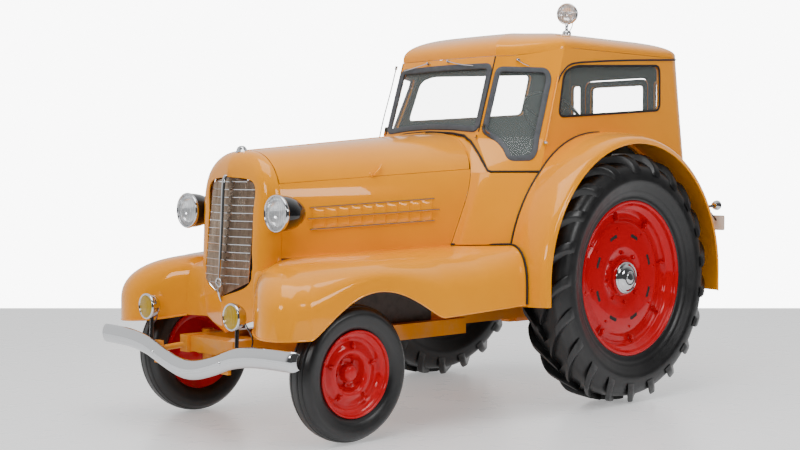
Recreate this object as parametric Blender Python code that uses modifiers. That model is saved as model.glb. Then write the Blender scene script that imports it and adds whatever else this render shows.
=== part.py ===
"""A 1930s farm tractor with a closed, streamlined cab, as separate named parts.

Metres, +Z up, wheels on Z = 0, the nose towards -Y and the driver's left towards +X.
Part shapes are written with Y = 0 on the front axle; the root empty "tractor" then
shifts them all so that the model's box is centred on the origin.
"""
import math

import bmesh
import bpy
import numpy as np
from mathutils import Vector

# ---------------------------------------------------------------- driving dimensions
GAP = 0.0006                     # standing gap between pieces that touch
MOVE_GAP = 0.006                 # gap round a piece that opens
WHEELBASE = 2.029
BUMPER_FRONT = -0.543            # foremost point of the bumper, from the front axle
CAB_REAR = 3.03                  # outside of the cab's rear wall at waist height

RAIL_Z = 0.415                   # underside of the frame rails
RAIL_H = 0.09
BEAM_TOP = 0.03                  # front axle beam above the wheel centres

# front wheels
FRONT_TYRE_R = 0.3524
FRONT_TYRE_W = 0.161
FRONT_RIM_R = 0.2205
FRONT_TRACK = 1.344
FRONT_CAMBER = math.radians(1.9)
KINGPIN_X = 0.545
STEER_LIMIT = math.radians(30)

# rear wheels
REAR_TYRE_R = 0.739
REAR_TYRE_W = 0.318
REAR_RIM_R = 0.4545
REAR_TRACK = 1.577
AXLE_SHAFT_R = 0.045
HUB_BACK = 0.04                  # inner face of a wheel's hub from its middle

# hood and shell
HOOD_FRONT_Y = -0.14
HOOD_FRONT_HALF = 0.305
HOOD_REAR_HALF = 0.468
HOOD_FRONT_TOP = 1.483
HOOD_TOP_SLOPE = 0.0875
HOOD_SIDE_TOP = 1.15             # height where the hood's side starts to turn over
HOOD_ROUND = 2.5                 # exponent of the hood's rounded section
HOOD_SHEET = 0.008
LID_SEAM_Z = 1.308
LID_SEAM_SLOPE = 0.062
COWL_SHEET = 0.012
FIREWALL_Y = 1.126
WAIST_Z = 0.962                  # lower edge of the hood's sides and the cowl
SEAM_LEAN = 0.41                 # backward lean of the hood's rear edge
SEAM_WAIST_Y = 0.94
LID_OPEN = math.radians(60)

# cab
CAB_WALL = 0.028
CAB_WAIST_HALF = 0.69
CAB_TUMBLEHOME = 0.124           # how much the sides lean in, per metre of height
CAB_EAVE_Z = 2.045
CAB_EAVE_RISE = 0.06
COWL_GAP = 0.0010                # joint between hood and cowl
EAVE_GAP = 0.004                 # joint under the roof's drip rail
ROOF_HEIGHT = 0.13               # rise of the roof's dome above the drip rail
DRIP_RAIL = 0.018                # upright edge of the roof above the walls
REAR_CORNER_R = 0.15
REAR_PANEL_HALF = 0.42           # the rear wall is flat this far from the centre
CAB_REAR_TAPER = 0.06
CAB_SILL_Z = 1.373
SILL_GAP = 0.010                # beaded joint between the cowl and the windscreen
FLARE_GAP = 0.018               # the same joint beside the pillars
CAB_FLOOR_Z = 0.88
CAB_FLOOR_T = 0.025
DOOR_HALF = 0.27
HINGE_R = 0.009
GLASS = 0.006
GLASS_SET = 0.010                # how far the panes sit behind the skin

# fenders
FENDER_SHEET = 0.008
REAR_FENDER_R = 0.866
REAR_FENDER_EDGE_R = 0.80
WALL_JOINT = 0.004               # standing gap between fender and cab side
WALL_TUCK = 0.022                # how far the cab's wall reaches below the fender's skin
REAR_FENDER_OUTER_X = 0.957
FENDER_FOOT_Z = 0.62
FRONT_FENDER_X = 0.775
SKIRT_REAR_X = 0.84              # the skirts widen to this at the rear fender
ARCH_TOP_Z = 0.766
ARCH_Y = 0.12
ARCH_HALF = 0.44

# windows, as outlines seen square on
WINDSCREEN = [(-0.352, 1.606), (0, 1.646), (0.352, 1.606), (0.352, 1.985), (-0.352, 1.985)]
SIDE_WINDOW = [(1.72, 1.685), (2.62, 1.73), (2.60, 2.015), (1.79, 1.975)]
REAR_WINDOW = [(0.315, 1.70), (0.395, 1.70), (0.395, 1.97), (0.315, 1.97)]
DOOR_WINDOW = [(-0.20, 1.62), (0.20, 1.62), (0.20, 1.93), (-0.20, 1.93)]
DOOR_OPENING = [(-DOOR_HALF, 0.93), (DOOR_HALF, 0.93), (DOOR_HALF, 1.995),
                (-DOOR_HALF, 1.995)]
CORNER_ORIGIN = (0.393, 1.234, 0)  # the corner window's plane: a point on it,
CORNER_ALONG = (0.536, 0.844, 0)   # the way its outline's first coordinate runs
CORNER_NORMAL = (0.844, -0.536, 0)
CORNER_WINDOW = [(0.045, 1.60), (0.10, 1.53), (0.125, 1.45), (0.30, 1.45), (0.445, 1.93),
                 (0.43, 1.975), (0.165, 1.985)]
WINDOW_R = 0.035
CORNER_REACH = 0.25
CREASE_LIP = 2.014               # cab_front wraps this far round the crease
CAB_DROP_Z = 0.76                # lower edge of the cab's walls behind the fenders

# driver's place
DASH_FRONT_Y = 1.27
DASH_REAR_Y = 1.40
STEER_CENTRE = Vector((0.35, 1.95, 1.69))
STEER_LEAN = Vector((0, 0.76, 0.65)).normalized()
STEER_R = 0.215
STEER_RIM = 0.012
SEAT_X = 0.32
SEAT_HALF = 0.225
SEAT_FRONT_Y = 2.30
SEAT_DEPTH = 0.44
SEAT_Z = 1.12
SEAT_PAD = 0.12
BACK_RISE = 0.44
BACK_LEAN = 0.07

# steering
ARM_LENGTH = 0.16
ARM_INSET = 0.02
ARM_DROP = -0.05
ARM_R = 0.014
TIE_R = 0.011
PIN_HALF = 0.075

# bumper and lamps
BUMPER_HALF = 0.853
BUMPER_H = 0.10
BUMPER_BOW = 0.024
BUMPER_SHEET = 0.014
LAMP = Vector((0.393, -0.242, 1.158))
LAMP_R = 0.093
FOG = Vector((0.382, -0.515, 0.651))
FOG_R = 0.068
SPOT = Vector((0.30, 2.13, 2.352))
SPOT_R = 0.066
SPOT_AIM = Vector((0.35, -0.9, -0.05)).normalized()

DOOR_BARREL_Y = CAB_REAR + HINGE_R + GAP
Y_SHIFT = -(BUMPER_FRONT + DOOR_BARREL_Y + HINGE_R) / 2

# ---------------------------------------------------------------- scene and materials
PARTS = None
CUTTERS = None
ROOT = None


def start_scene():
    """Empty the scene and make the two collections and the root empty."""
    global PARTS, CUTTERS, ROOT
    for old in list(bpy.data.objects):
        bpy.data.objects.remove(old, do_unlink=True)
    PARTS = bpy.data.collections.new("vintage_tractor")
    CUTTERS = bpy.data.collections.new("cutters")
    bpy.context.scene.collection.children.link(PARTS)
    bpy.context.scene.collection.children.link(CUTTERS)
    ROOT = empty("tractor", (0, Y_SHIFT, 0), None)


def material(name, colour, roughness, metallic=0.0, alpha=1.0):
    """A Principled material, made once and reused by name."""
    found = bpy.data.materials.get(name)
    if found:
        return found
    made = bpy.data.materials.new(name)
    made.use_nodes = True
    shader = made.node_tree.nodes["Principled BSDF"]
    shader.inputs["Base Color"].default_value = (*colour, 1)
    shader.inputs["Roughness"].default_value = roughness
    shader.inputs["Metallic"].default_value = metallic
    shader.inputs["Alpha"].default_value = alpha
    return made


FINISHES = {
    "body": ((1.0, 0.36, 0.01), 0.22, 0.0),
    "frame": ((0.85, 0.28, 0.01), 0.4, 0.0),
    "wheel": ((0.62, 0.01, 0.02), 0.25, 0.0),
    "tyre": ((0.02, 0.02, 0.022), 0.8, 0.0),
    "chrome": ((0.8, 0.8, 0.8), 0.08, 1.0),
    "black": ((0.012, 0.012, 0.012), 0.25, 0.0),
    "iron": ((0.12, 0.12, 0.12), 0.5, 0.6),
    "upholstery": ((0.16, 0.02, 0.025), 0.5, 0.0),
    "lining": ((0.25, 0.27, 0.25), 0.7, 0.0),
}


def finish(name):
    """The named finish as a material."""
    if name == "glass":
        return material("glass", (0.8, 0.85, 0.85), 0.02, 0.0, 0.3)
    return material(name, *FINISHES[name])


def empty(name, place, parent):
    """An empty that carries other objects."""
    holder = bpy.data.objects.new(name, None)
    holder.location = place
    holder.parent = parent
    PARTS.objects.link(holder)
    return holder


def add(name, mesh, look, parent=None, cutter=False):
    """Link a mesh as an object under its parent, as a part or as a cutter."""
    made = bpy.data.objects.new(name, mesh)
    made.parent = parent or ROOT
    if cutter:
        CUTTERS.objects.link(made)
        made.hide_render = True
        made.display_type = "WIRE"
        return made
    PARTS.objects.link(made)
    mesh.materials.append(finish(look))
    return made


# ---------------------------------------------------------------- shape helpers
def smooth(t):
    """A step from 0 to 1 that starts and ends level."""
    t = np.clip(t, 0.0, 1.0)
    return t * t * (3 - 2 * t)


def through(points, t):
    """Points at t (0 to 1) on a smooth curve through the given points (Catmull-Rom)."""
    pts = np.array(points, float)
    ends = np.vstack([2 * pts[0] - pts[1], pts, 2 * pts[-1] - pts[-2]])
    s = np.clip(np.asarray(t, float), 0, 1) * (len(pts) - 1)
    i = np.minimum(s.astype(int), len(pts) - 2)
    f = (s - i)[..., None]
    a, b, c, d = ends[i], ends[i + 1], ends[i + 2], ends[i + 3]
    return 0.5 * (2 * b + (c - a) * f + (2 * a - 5 * b + 4 * c - d) * f ** 2
                  + (3 * b - a - 3 * c + d) * f ** 3)


def grid_mesh(name, grids, wrap=False):
    """Quads over point arrays (rows, columns, 3), welded; wrap joins last row to first."""
    verts = []
    faces = []
    for points in grids:
        rows, cols = points.shape[:2]
        index = np.arange(rows * cols).reshape(rows, cols) + len(verts)
        if wrap:
            index = np.vstack([index, index[:1]])
        quads = np.stack([index[:-1, :-1], index[:-1, 1:], index[1:, 1:], index[1:, :-1]], -1)
        verts += points.reshape(-1, 3).tolist()
        faces += quads.reshape(-1, 4).tolist()
    mesh = bpy.data.meshes.new(name)
    mesh.from_pydata(verts, [], faces)
    cleaner = bmesh.new()
    cleaner.from_mesh(mesh)
    bmesh.ops.remove_doubles(cleaner, verts=cleaner.verts, dist=1e-5)
    cleaner.to_mesh(mesh)
    cleaner.free()
    return mesh


def sheet(name, points, look, thickness, parent=None, wrap=False, pivot=(0, 0, 0),
          flip=False):
    """A panel: an open surface over one or more point grids, thickened inwards."""
    grids = points if isinstance(points, list) else [points]
    grids = [(g[:, ::-1] if flip else g) - np.array(pivot) for g in grids]
    made = add(name, grid_mesh(name, grids, wrap), look, parent)
    solidify = made.modifiers.new("wall", "SOLIDIFY")
    solidify.thickness = thickness
    solidify.offset = -1
    solidify.use_even_offset = True
    return made


def box(name, low, high, look="iron", parent=None, cutter=False):
    """A rectangular block between two corners, with its origin at its centre."""
    low, high = Vector(low), Vector(high)
    mesh = bpy.data.meshes.new(name)
    maker = bmesh.new()
    bmesh.ops.create_cube(maker, size=1)
    bmesh.ops.scale(maker, verts=maker.verts, vec=high - low)
    maker.to_mesh(mesh)
    maker.free()
    made = add(name, mesh, look, parent, cutter)
    made.location = (low + high) / 2
    return made


def rod(name, start, end, radius, look="iron", parent=None, cutter=False, sides=20,
        end_radius=None):
    """A round bar between two points; end_radius makes it a cone."""
    start, end = Vector(start), Vector(end)
    mesh = bpy.data.meshes.new(name)
    maker = bmesh.new()
    far = radius if end_radius is None else end_radius
    bmesh.ops.create_cone(maker, cap_ends=True, segments=sides, radius1=radius, radius2=far,
                          depth=(end - start).length)
    maker.to_mesh(mesh)
    maker.free()
    made = add(name, mesh, look, parent, cutter)
    made.location = (start + end) / 2
    made.rotation_euler = (end - start).to_track_quat("Z", "Y").to_euler()
    return made


def prism(name, outline, axis, low, high, look="iron", parent=None, cutter=False):
    """A flat outline pushed along x, y or a given direction, between two distances.

    For axis "x" the outline holds (y, z), for "y" it holds (x, z). A tuple
    (origin, along, normal) puts (a, z) at origin + a * along and pushes along normal.
    """
    if axis == "x":
        origin, along, normal = Vector(), Vector((0, 1, 0)), Vector((1, 0, 0))
    elif axis == "y":
        origin, along, normal = Vector(), Vector((1, 0, 0)), Vector((0, -1, 0))
    else:
        origin, along, normal = (Vector(v) for v in axis)
    maker = bmesh.new()
    ring = [maker.verts.new(origin + along * a + Vector((0, 0, z)) + normal * low)
            for a, z in outline]
    face = maker.faces.new(ring)
    pushed = bmesh.ops.extrude_face_region(maker, geom=[face])
    moved = [v for v in pushed["geom"] if isinstance(v, bmesh.types.BMVert)]
    bmesh.ops.translate(maker, verts=moved, vec=normal * (high - low))
    bmesh.ops.recalc_face_normals(maker, faces=maker.faces)
    mesh = bpy.data.meshes.new(name)
    maker.to_mesh(mesh)
    maker.free()
    return add(name, mesh, look, parent, cutter)


def turned(name, profile, look, place, axis, parent=None, steps=48, closed=False):
    """A turned shape: (radius, distance along axis) points spun with a Screw modifier.

    The profile runs down its outer side, from the far end of the axis to the near one.
    """
    mesh = bpy.data.meshes.new(name)
    verts = [(r, 0, h) for r, h in profile]
    edges = [(i, i + 1) for i in range(len(verts) - 1)]
    if closed:
        edges.append((len(verts) - 1, 0))
    mesh.from_pydata(verts, edges, [])
    made = add(name, mesh, look, parent)
    made.location = place
    made.rotation_euler = Vector(axis).to_track_quat("Z", "Y").to_euler()
    spin = made.modifiers.new("spin", "SCREW")
    spin.axis = "Z"
    spin.steps = steps
    spin.render_steps = steps
    spin.use_merge_vertices = True
    spin.merge_threshold = 0.0001
    return made


def combine(base, tools, operation="UNION"):
    """Join or cut base with each tool; tools move to the cutters' collection."""
    for tool in tools:
        if tool.name in PARTS.objects:
            PARTS.objects.unlink(tool)
            CUTTERS.objects.link(tool)
            tool.hide_render = True
            tool.display_type = "WIRE"
        change = base.modifiers.new(operation.lower(), "BOOLEAN")
        change.operation = operation
        change.object = tool
        change.solver = "EXACT"
    return base


def rounded(points, radius, steps=4):
    """An outline with each corner replaced by an arc-like curve of the given radius."""
    pts = [Vector(p) for p in points]
    out = []
    for i, corner in enumerate(pts):
        before, after = pts[i - 1], pts[(i + 1) % len(pts)]
        reach = min(radius, (before - corner).length / 2.2, (after - corner).length / 2.2)
        a = corner + (before - corner).normalized() * reach
        b = corner + (after - corner).normalized() * reach
        for k in range(steps + 1):
            t = k / steps
            p = a * (1 - t) ** 2 + corner * 2 * t * (1 - t) + b * t ** 2
            out.append((p.x, p.y))
    return out


def inset(outline, distance):
    """The outline drawn in towards its middle by about the given distance."""
    pts = np.array(outline)
    before = np.roll(pts, 1, axis=0)
    after = np.roll(pts, -1, axis=0)
    along = after - before
    length = np.maximum(np.linalg.norm(along, axis=1, keepdims=True), 1e-9)
    normal = np.stack([-along[:, 1], along[:, 0]], 1) / length
    area = np.sum(pts[:, 0] * after[:, 1] - after[:, 0] * pts[:, 1])
    return (pts + normal * distance * np.sign(area)).tolist()


def mirrored(outline):
    """The outline with its first coordinate turned over, for the other side."""
    return [(-a, b) for a, b in outline]


# ---------------------------------------------------------------- body lines
def hood_half(y):
    """Half the hood's width, which grows evenly towards the cab."""
    share = (y - HOOD_FRONT_Y) / (SEAM_WAIST_Y - HOOD_FRONT_Y)
    return HOOD_FRONT_HALF + (HOOD_REAR_HALF - HOOD_FRONT_HALF) * share


def hood_top(y):
    """Height of the hood's centre line."""
    return HOOD_FRONT_TOP + HOOD_TOP_SLOPE * (y - HOOD_FRONT_Y)


def lid_seam(y):
    """Height of the seam between a lid and the hood's side."""
    return LID_SEAM_Z + LID_SEAM_SLOPE * (y - HOOD_FRONT_Y)


def hood_rear(z):
    """Y of the hood's rear edge, which leans back with height."""
    return SEAM_WAIST_Y + SEAM_LEAN * (z - WAIST_Z)


def hood_point(y, angle):
    """A point of the hood's skin; angle 0 is the centre line and pi/2 the side."""
    rise = hood_top(y) - HOOD_SIDE_TOP
    x = hood_half(y) * np.sin(angle) ** (2 / HOOD_ROUND)
    z = HOOD_SIDE_TOP + rise * np.cos(angle) ** (2 / HOOD_ROUND)
    return x, z


def hood_angle(y, z):
    """The section angle at which the hood's skin has the given height."""
    share = (z - HOOD_SIDE_TOP) / (hood_top(y) - HOOD_SIDE_TOP)
    return np.arccos(np.clip(share, 0, 1) ** (HOOD_ROUND / 2))


def side_x(z):
    """Half-width of the cab's side at the crease behind the corner window."""
    return CAB_WAIST_HALF - CAB_TUMBLEHOME * np.maximum(z - CAB_SILL_Z, 0)


def crease_y(z):
    """Y of the crease between the corner window's panel and the cab's side."""
    return 1.441 + 0.43 * (z - CAB_SILL_Z)


def pillar_x(z):
    """Half-width of the windscreen at its pillar."""
    return 0.393 + 0.8 * np.maximum(0, 1.56 - z)


def pillar_y(z):
    """Y of the windscreen at its pillar."""
    return 1.234 + 0.321 * (z - 1.585)


def eave(y):
    """Height of the joint between the cab's walls and its roof."""
    return CAB_EAVE_Z + CAB_EAVE_RISE * smooth((y - 1.4) / 0.45)


def cab_plan(s, z):
    """A point of the left half of the cab's wall at height z.

    s runs 0 windscreen centre, 1 pillar, 2 crease, 3 start of the rear corner, 4 end of
    the rear corner and 5 centre of the rear wall.
    """
    s, z = np.broadcast_arrays(np.asarray(s, float), np.asarray(z, float))
    corner_x = side_x(z) - CAB_REAR_TAPER
    corner_y = CAB_REAR - REAR_CORNER_R
    turn = np.clip(s - 3, 0, 1) * math.pi / 2
    x = np.select(
        [s <= 1, s <= 2, s <= 3, s <= 4],
        [pillar_x(z) * s, pillar_x(z) + (side_x(z) - pillar_x(z)) * (s - 1),
         side_x(z) + (corner_x - side_x(z)) * (s - 2),
         REAR_PANEL_HALF + (corner_x - REAR_PANEL_HALF) * np.cos(turn)],
        REAR_PANEL_HALF * (5 - s))
    bulge = 0.018 * (1 - np.minimum(s, 1) ** 2)
    y = np.select(
        [s <= 1, s <= 2, s <= 3, s <= 4],
        [pillar_y(z) - bulge, pillar_y(z) + (crease_y(z) - pillar_y(z)) * (s - 1),
         crease_y(z) + (corner_y - crease_y(z)) * (s - 2),
         corner_y + REAR_CORNER_R * np.sin(turn)],
        CAB_REAR)
    return x, y


def cab_wall(stations, low, rows):
    """Points of the cab's wall from its lower edge (one height a station) to the eave.

    A negative station is the same place on the right-hand side.
    """
    stations = np.asarray(stations, float)
    side = np.where(stations < 0, -1.0, 1.0)[:, None]
    s = np.abs(stations)[:, None]
    top = eave(cab_plan(s, 2.05)[1])
    top = eave(cab_plan(s, top)[1]) - EAVE_GAP
    share = np.linspace(0, 1, rows)[None, :]
    z = np.asarray(low, float)[:, None] * (1 - share) + top * share
    x, y = cab_plan(s, z)
    return np.stack([x * side, y, z], -1)


def fender_circle(y, radius):
    """Height of a circle round the rear axle, and the axle's height outside it."""
    reach = np.maximum(radius ** 2 - (y - WHEELBASE) ** 2, 0)
    return REAR_TYRE_R + np.sqrt(reach)


# ---------------------------------------------------------------- wheels
def wheel_axis(side, camber):
    """Outward direction of a wheel's axle; camber tips the wheel's top outwards."""
    return Vector((side * math.cos(camber), 0, -math.sin(camber)))


def tyre_profile(radius, width, rim):
    """Closed outline of a tyre, as (radius, distance) points, outer side first."""
    half = width / 2
    tread = half * 0.80
    shoulder = radius * 0.955
    side = (radius + rim) / 2
    bead = half * 0.62 - 0.0015
    heel = rim - 0.012
    outer = [(heel, bead), (rim + 0.003, bead + 0.002), (rim + 0.012, bead + 0.016),
             (side, half), (shoulder, half * 0.93), (radius - 0.006, tread),
             (radius, tread * 0.5)]
    return outer + [(r, -a) for r, a in reversed(outer)]


def wheel_profile(rim, width, disc, hub, face, hub_face):
    """Outline of a rim, disc and hub in one, from the outer centre to the inner one."""
    half = width / 2 * 0.62
    bed = rim - 0.0125
    well = rim - 0.045
    wall = 0.007
    return [(0, hub_face), (hub, hub_face), (hub + 0.004, face), (disc, face),
            (well - wall, half * 0.62), (rim, half + 0.016), (rim + 0.001, half + 0.0045),
            (bed, half - 0.001), (well, half * 0.4), (well, -half * 0.4), (bed, -half + 0.001),
            (rim + 0.001, -half - 0.0045), (rim, -half - 0.016), (well - wall, -half * 0.5),
            (disc, face - 0.012), (hub, face - 0.012), (hub, -HUB_BACK), (0, -HUB_BACK)]


def wheels():
    """Four tyres and four wheels, and the empties on their joint axes."""
    for side, word in ((1, "left"), (-1, "right")):
        axis = wheel_axis(side, FRONT_CAMBER)
        lean = FRONT_TYRE_W * 0.4 * math.sin(FRONT_CAMBER)
        height = FRONT_TYRE_R * math.cos(FRONT_CAMBER) + lean
        centre = Vector((side * FRONT_TRACK / 2, 0, height))
        steer = empty(f"steer_{word}", (side * KINGPIN_X, 0, height), ROOT)
        knuckle(word, side, steer, axis, centre)
        spot = centre - steer.location
        turned(f"front_tyre_{word}", tyre_profile(FRONT_TYRE_R, FRONT_TYRE_W, FRONT_RIM_R),
               "tyre", spot, axis, steer, steps=24, closed=True)
        turned(f"front_wheel_{word}",
               wheel_profile(FRONT_RIM_R, FRONT_TYRE_W, 0.15, 0.05, 0.03, 0.055),
               "wheel", spot, axis, steer, steps=24)
        centre = Vector((side * REAR_TRACK / 2, WHEELBASE, REAR_TYRE_R))
        turned(f"rear_tyre_{word}", tyre_profile(REAR_TYRE_R, REAR_TYRE_W, REAR_RIM_R),
               "tyre", centre, (side, 0, 0), steps=32, closed=True)
        turned(f"rear_wheel_{word}",
               wheel_profile(REAR_RIM_R, REAR_TYRE_W, 0.34, 0.09, 0.02, 0.075),
               "wheel", centre, (side, 0, 0), steps=32)


def knuckle(word, side, steer, axis, centre):
    """A steering knuckle: kingpin boss, stub axle into the hub and steering arm."""
    pin = steer.location
    boss = rod(f"knuckle_{word}", (0, 0, -PIN_HALF), (0, 0, PIN_HALF), 0.032, "frame", steer)
    hub_back = centre - pin - axis * (HUB_BACK + GAP)
    stub = rod(f"stub_{word}", hub_back - axis * 0.085, hub_back, 0.028, "frame", steer)
    arm_end = Vector((-side * ARM_INSET, ARM_LENGTH, ARM_DROP))
    arm = rod(f"arm_{word}", (0, 0, ARM_DROP), arm_end, ARM_R, "frame", steer, sides=10)
    combine(boss, [stub, arm])


def steering_links():
    """The tie rod between the two steering arms, on its own pivot."""
    height = bpy.data.objects["steer_left"].location.z + ARM_DROP
    reach = KINGPIN_X - ARM_INSET
    pivot = empty("tie_rod_pivot", (reach, ARM_LENGTH, height), ROOT)
    drop = ARM_R + TIE_R + GAP
    rod("tie_rod", (0, 0, -drop), (-2 * reach, 0, -drop), TIE_R, "frame", pivot, sides=10)


# ---------------------------------------------------------------- chassis
def chassis():
    """Frame rails, engine, gearbox with rear axle, drawbar and front axle."""
    rail_top = RAIL_Z + RAIL_H
    rails = box("frame_rails", (0.17, -0.40, RAIL_Z), (0.235, 1.30, rail_top), "frame")
    other = box("rail_right", (-0.235, -0.40, RAIL_Z), (-0.17, 1.30, rail_top), "frame")
    front = box("front_bolster", (-0.2, -0.38, RAIL_Z + 0.005),
                (0.2, -0.28, rail_top - 0.005), "frame")
    axle_top = bpy.data.objects["steer_left"].location.z + BEAM_TOP + GAP
    middle = box("axle_bolster", (-0.2, -0.06, axle_top), (0.2, 0.06, RAIL_Z + 0.06), "frame")
    arms = [rod(f"bumper_arm_{s}", (s * 0.2, -0.38, RAIL_Z + 0.04), (s * 0.3, -0.482, 0.43),
                0.016, "frame") for s in (-1, 1)]
    arms += [box(f"bumper_plate_{s}", (s * 0.3 - 0.03, BUMPER_FRONT + 0.0428, 0.355),
                 (s * 0.3 + 0.03, BUMPER_FRONT + 0.063, 0.475), "frame") for s in (-1, 1)]
    combine(rails, [other, front, middle] + arms)
    block = box("engine_block", (-0.165, 0.09, 0.47), (0.165, 1.08, 1.22), "iron")
    core = box("radiator_core", (-0.235, -0.125, 0.64), (0.235, -0.055, 1.30), "iron")
    hose = box("radiator_hose", (-0.04, -0.07, 1.08), (0.04, 0.10, 1.16), "iron")
    combine(block, [core, hose])
    case = box("axle_case", (-0.16, 1.32, 0.46), (0.16, 2.22, CAB_FLOOR_Z - GAP), "frame")
    bell = box("clutch_case", (-0.15, 1.08 + GAP, 0.50), (0.15, 1.34, 0.86), "frame")
    trumpet = rod("axle_trumpets", (-0.60, WHEELBASE, REAR_TYRE_R),
                  (0.60, WHEELBASE, REAR_TYRE_R), 0.11, "frame")
    shaft_end = REAR_TRACK / 2 - HUB_BACK - GAP
    shaft = rod("axle_shaft", (-shaft_end, WHEELBASE, REAR_TYRE_R),
                (shaft_end, WHEELBASE, REAR_TYRE_R), AXLE_SHAFT_R, "frame")
    bar = box("drawbar_bar", (-0.035, 1.9, 0.42), (0.035, 2.62, 0.455), "frame")
    hanger = box("drawbar_hanger", (-0.05, 1.95, 0.42), (0.05, 2.1, 0.50), "frame")
    combine(case, [bell, trumpet, shaft, bar, hanger])
    steer_z = bpy.data.objects["steer_left"].location.z
    beam = box("front_axle", (-0.44, -0.028, steer_z - 0.03), (0.44, 0.028, steer_z + BEAM_TOP),
               "frame")
    forks = []
    for s in (-1, 1):
        post = KINGPIN_X * s
        forks.append(rod(f"fork_side_{s}", (s * 0.42, 0, steer_z),
                         (s * 0.475, 0, steer_z + 0.105), 0.024, "frame"))
        forks.append(rod(f"fork_top_{s}", (s * 0.47, 0, steer_z + 0.102),
                         (post, 0, steer_z + 0.102), 0.022, "frame"))
        forks.append(rod(f"fork_eye_{s}", (post, 0, steer_z + PIN_HALF + GAP),
                         (post, 0, steer_z + 0.125), 0.034, "frame"))
        forks.append(rod(f"radius_rod_{s}", (s * 0.40, 0, steer_z), (s * 0.08, 0.55, 0.385),
                         0.016, "frame"))
    forks.append(box("radius_ball", (-0.10, 0.53, 0.365), (0.10, 0.59, 0.47 - GAP), "frame"))
    combine(beam, forks)


# ---------------------------------------------------------------- hood, shell and cowl
SIDE_STATIONS = np.concatenate([2 + np.linspace(0, 1, 9), 3 + np.linspace(0, 1, 5)[1:], [4.03]])
REAR_STATIONS = np.linspace(4.03, 5, 5)
FRONT_STATIONS = np.array([0, 0.2, 0.4, 0.6, 0.76, 0.88, 0.95, 1.0, 1.2, 1.4, 1.6, 1.8, 2.0])


def sill_height(s):
    """Height of the cab's lower edge at a station from the windscreen to the crease."""
    return np.interp(s, [0, 0.5, 0.76, 0.88, 0.95, 1],
                     [1.601, 1.592, 1.575, 1.544, 1.475, CAB_SILL_Z])


def hood():
    """The two hinged lids and the two fixed sides."""
    rows = 9
    for side, word in ((1, "left"), (-1, "right")):
        share = np.linspace(0, 1, 12)[:, None]
        bend = np.linspace(0, 1, rows)[None, :]
        y = HOOD_FRONT_Y + MOVE_GAP + 0 * bend + (1.0 - HOOD_FRONT_Y) * share
        for _ in range(3):
            last = hood_angle(y, lid_seam(y) + 0.001)
            first = np.arcsin((MOVE_GAP / hood_half(y)) ** (HOOD_ROUND / 2))
            angle = first + (last - first) * bend
            x, z = hood_point(y, angle)
            y = HOOD_FRONT_Y + MOVE_GAP + share * (hood_rear(z) - HOOD_FRONT_Y - 2.5 * MOVE_GAP)
        points = np.stack([x * side, y, z], -1)
        pivot = empty(f"hood_hinge_{word}", (0, HOOD_FRONT_Y, HOOD_FRONT_TOP + 0.004), ROOT)
        sheet(f"hood_top_{word}", points, "body", HOOD_SHEET, pivot,
              pivot=tuple(pivot.location), flip=side < 0)
        share = np.linspace(0, 1, 12)[:, None]
        drop = np.linspace(0, 1, 6)[None, :]
        y = HOOD_FRONT_Y + share + 0 * drop
        for _ in range(3):
            z = WAIST_Z - 0.028 * (1 - smooth(share * 1.2)) + 0 * drop
            z = (lid_seam(y) - 0.001) * (1 - drop) + z * drop
            y = HOOD_FRONT_Y + GAP + share * (hood_rear(z) - HOOD_FRONT_Y - GAP)
        x = np.where(z > HOOD_SIDE_TOP, hood_point(y, hood_angle(y, z))[0], hood_half(y))
        sheet(f"hood_side_{word}", np.stack([x * side, y, z], -1), "body", HOOD_SHEET,
              flip=side < 0)


def shell_outer(t):
    """The shell's outer edge on the left, from the bottom point up to the top centre."""
    apron = through([(0, -0.272, 0.523), (0.13, -0.262, 0.57), (0.262, -0.235, 0.615)],
                    np.clip(t / 0.25, 0, 1))
    side_t = np.clip((t - 0.25) / 0.35, 0, 1)[..., None]
    foot = np.array([HOOD_FRONT_HALF, HOOD_FRONT_Y, WAIST_Z - 0.10])
    head = np.array([HOOD_FRONT_HALF, HOOD_FRONT_Y, HOOD_SIDE_TOP])
    start = np.array([0.262, -0.235, 0.615])
    low = start + (foot - start) * np.clip(side_t * 3, 0, 1)
    side = low + (head - foot) * np.clip(side_t * 1.5 - 0.5, 0, 1)
    angle = (1 - np.clip((t - 0.6) / 0.4, 0, 1)) * math.pi / 2
    x, z = hood_point(HOOD_FRONT_Y, angle)
    arch = np.stack([x, np.full_like(x, HOOD_FRONT_Y), z], -1)
    return np.where((t < 0.25)[..., None], apron, np.where((t < 0.6)[..., None], side, arch))


def shell_inner(t):
    """The grille opening's edge on the left, bottom centre to top centre."""
    return through([(0, -0.298, 0.713), (0.190, -0.258, 0.795), (0.197, -0.246, 0.98),
                    (0.195, -0.236, 1.15), (0.188, -0.228, 1.312), (0, -0.256, 1.345)], t)


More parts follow.
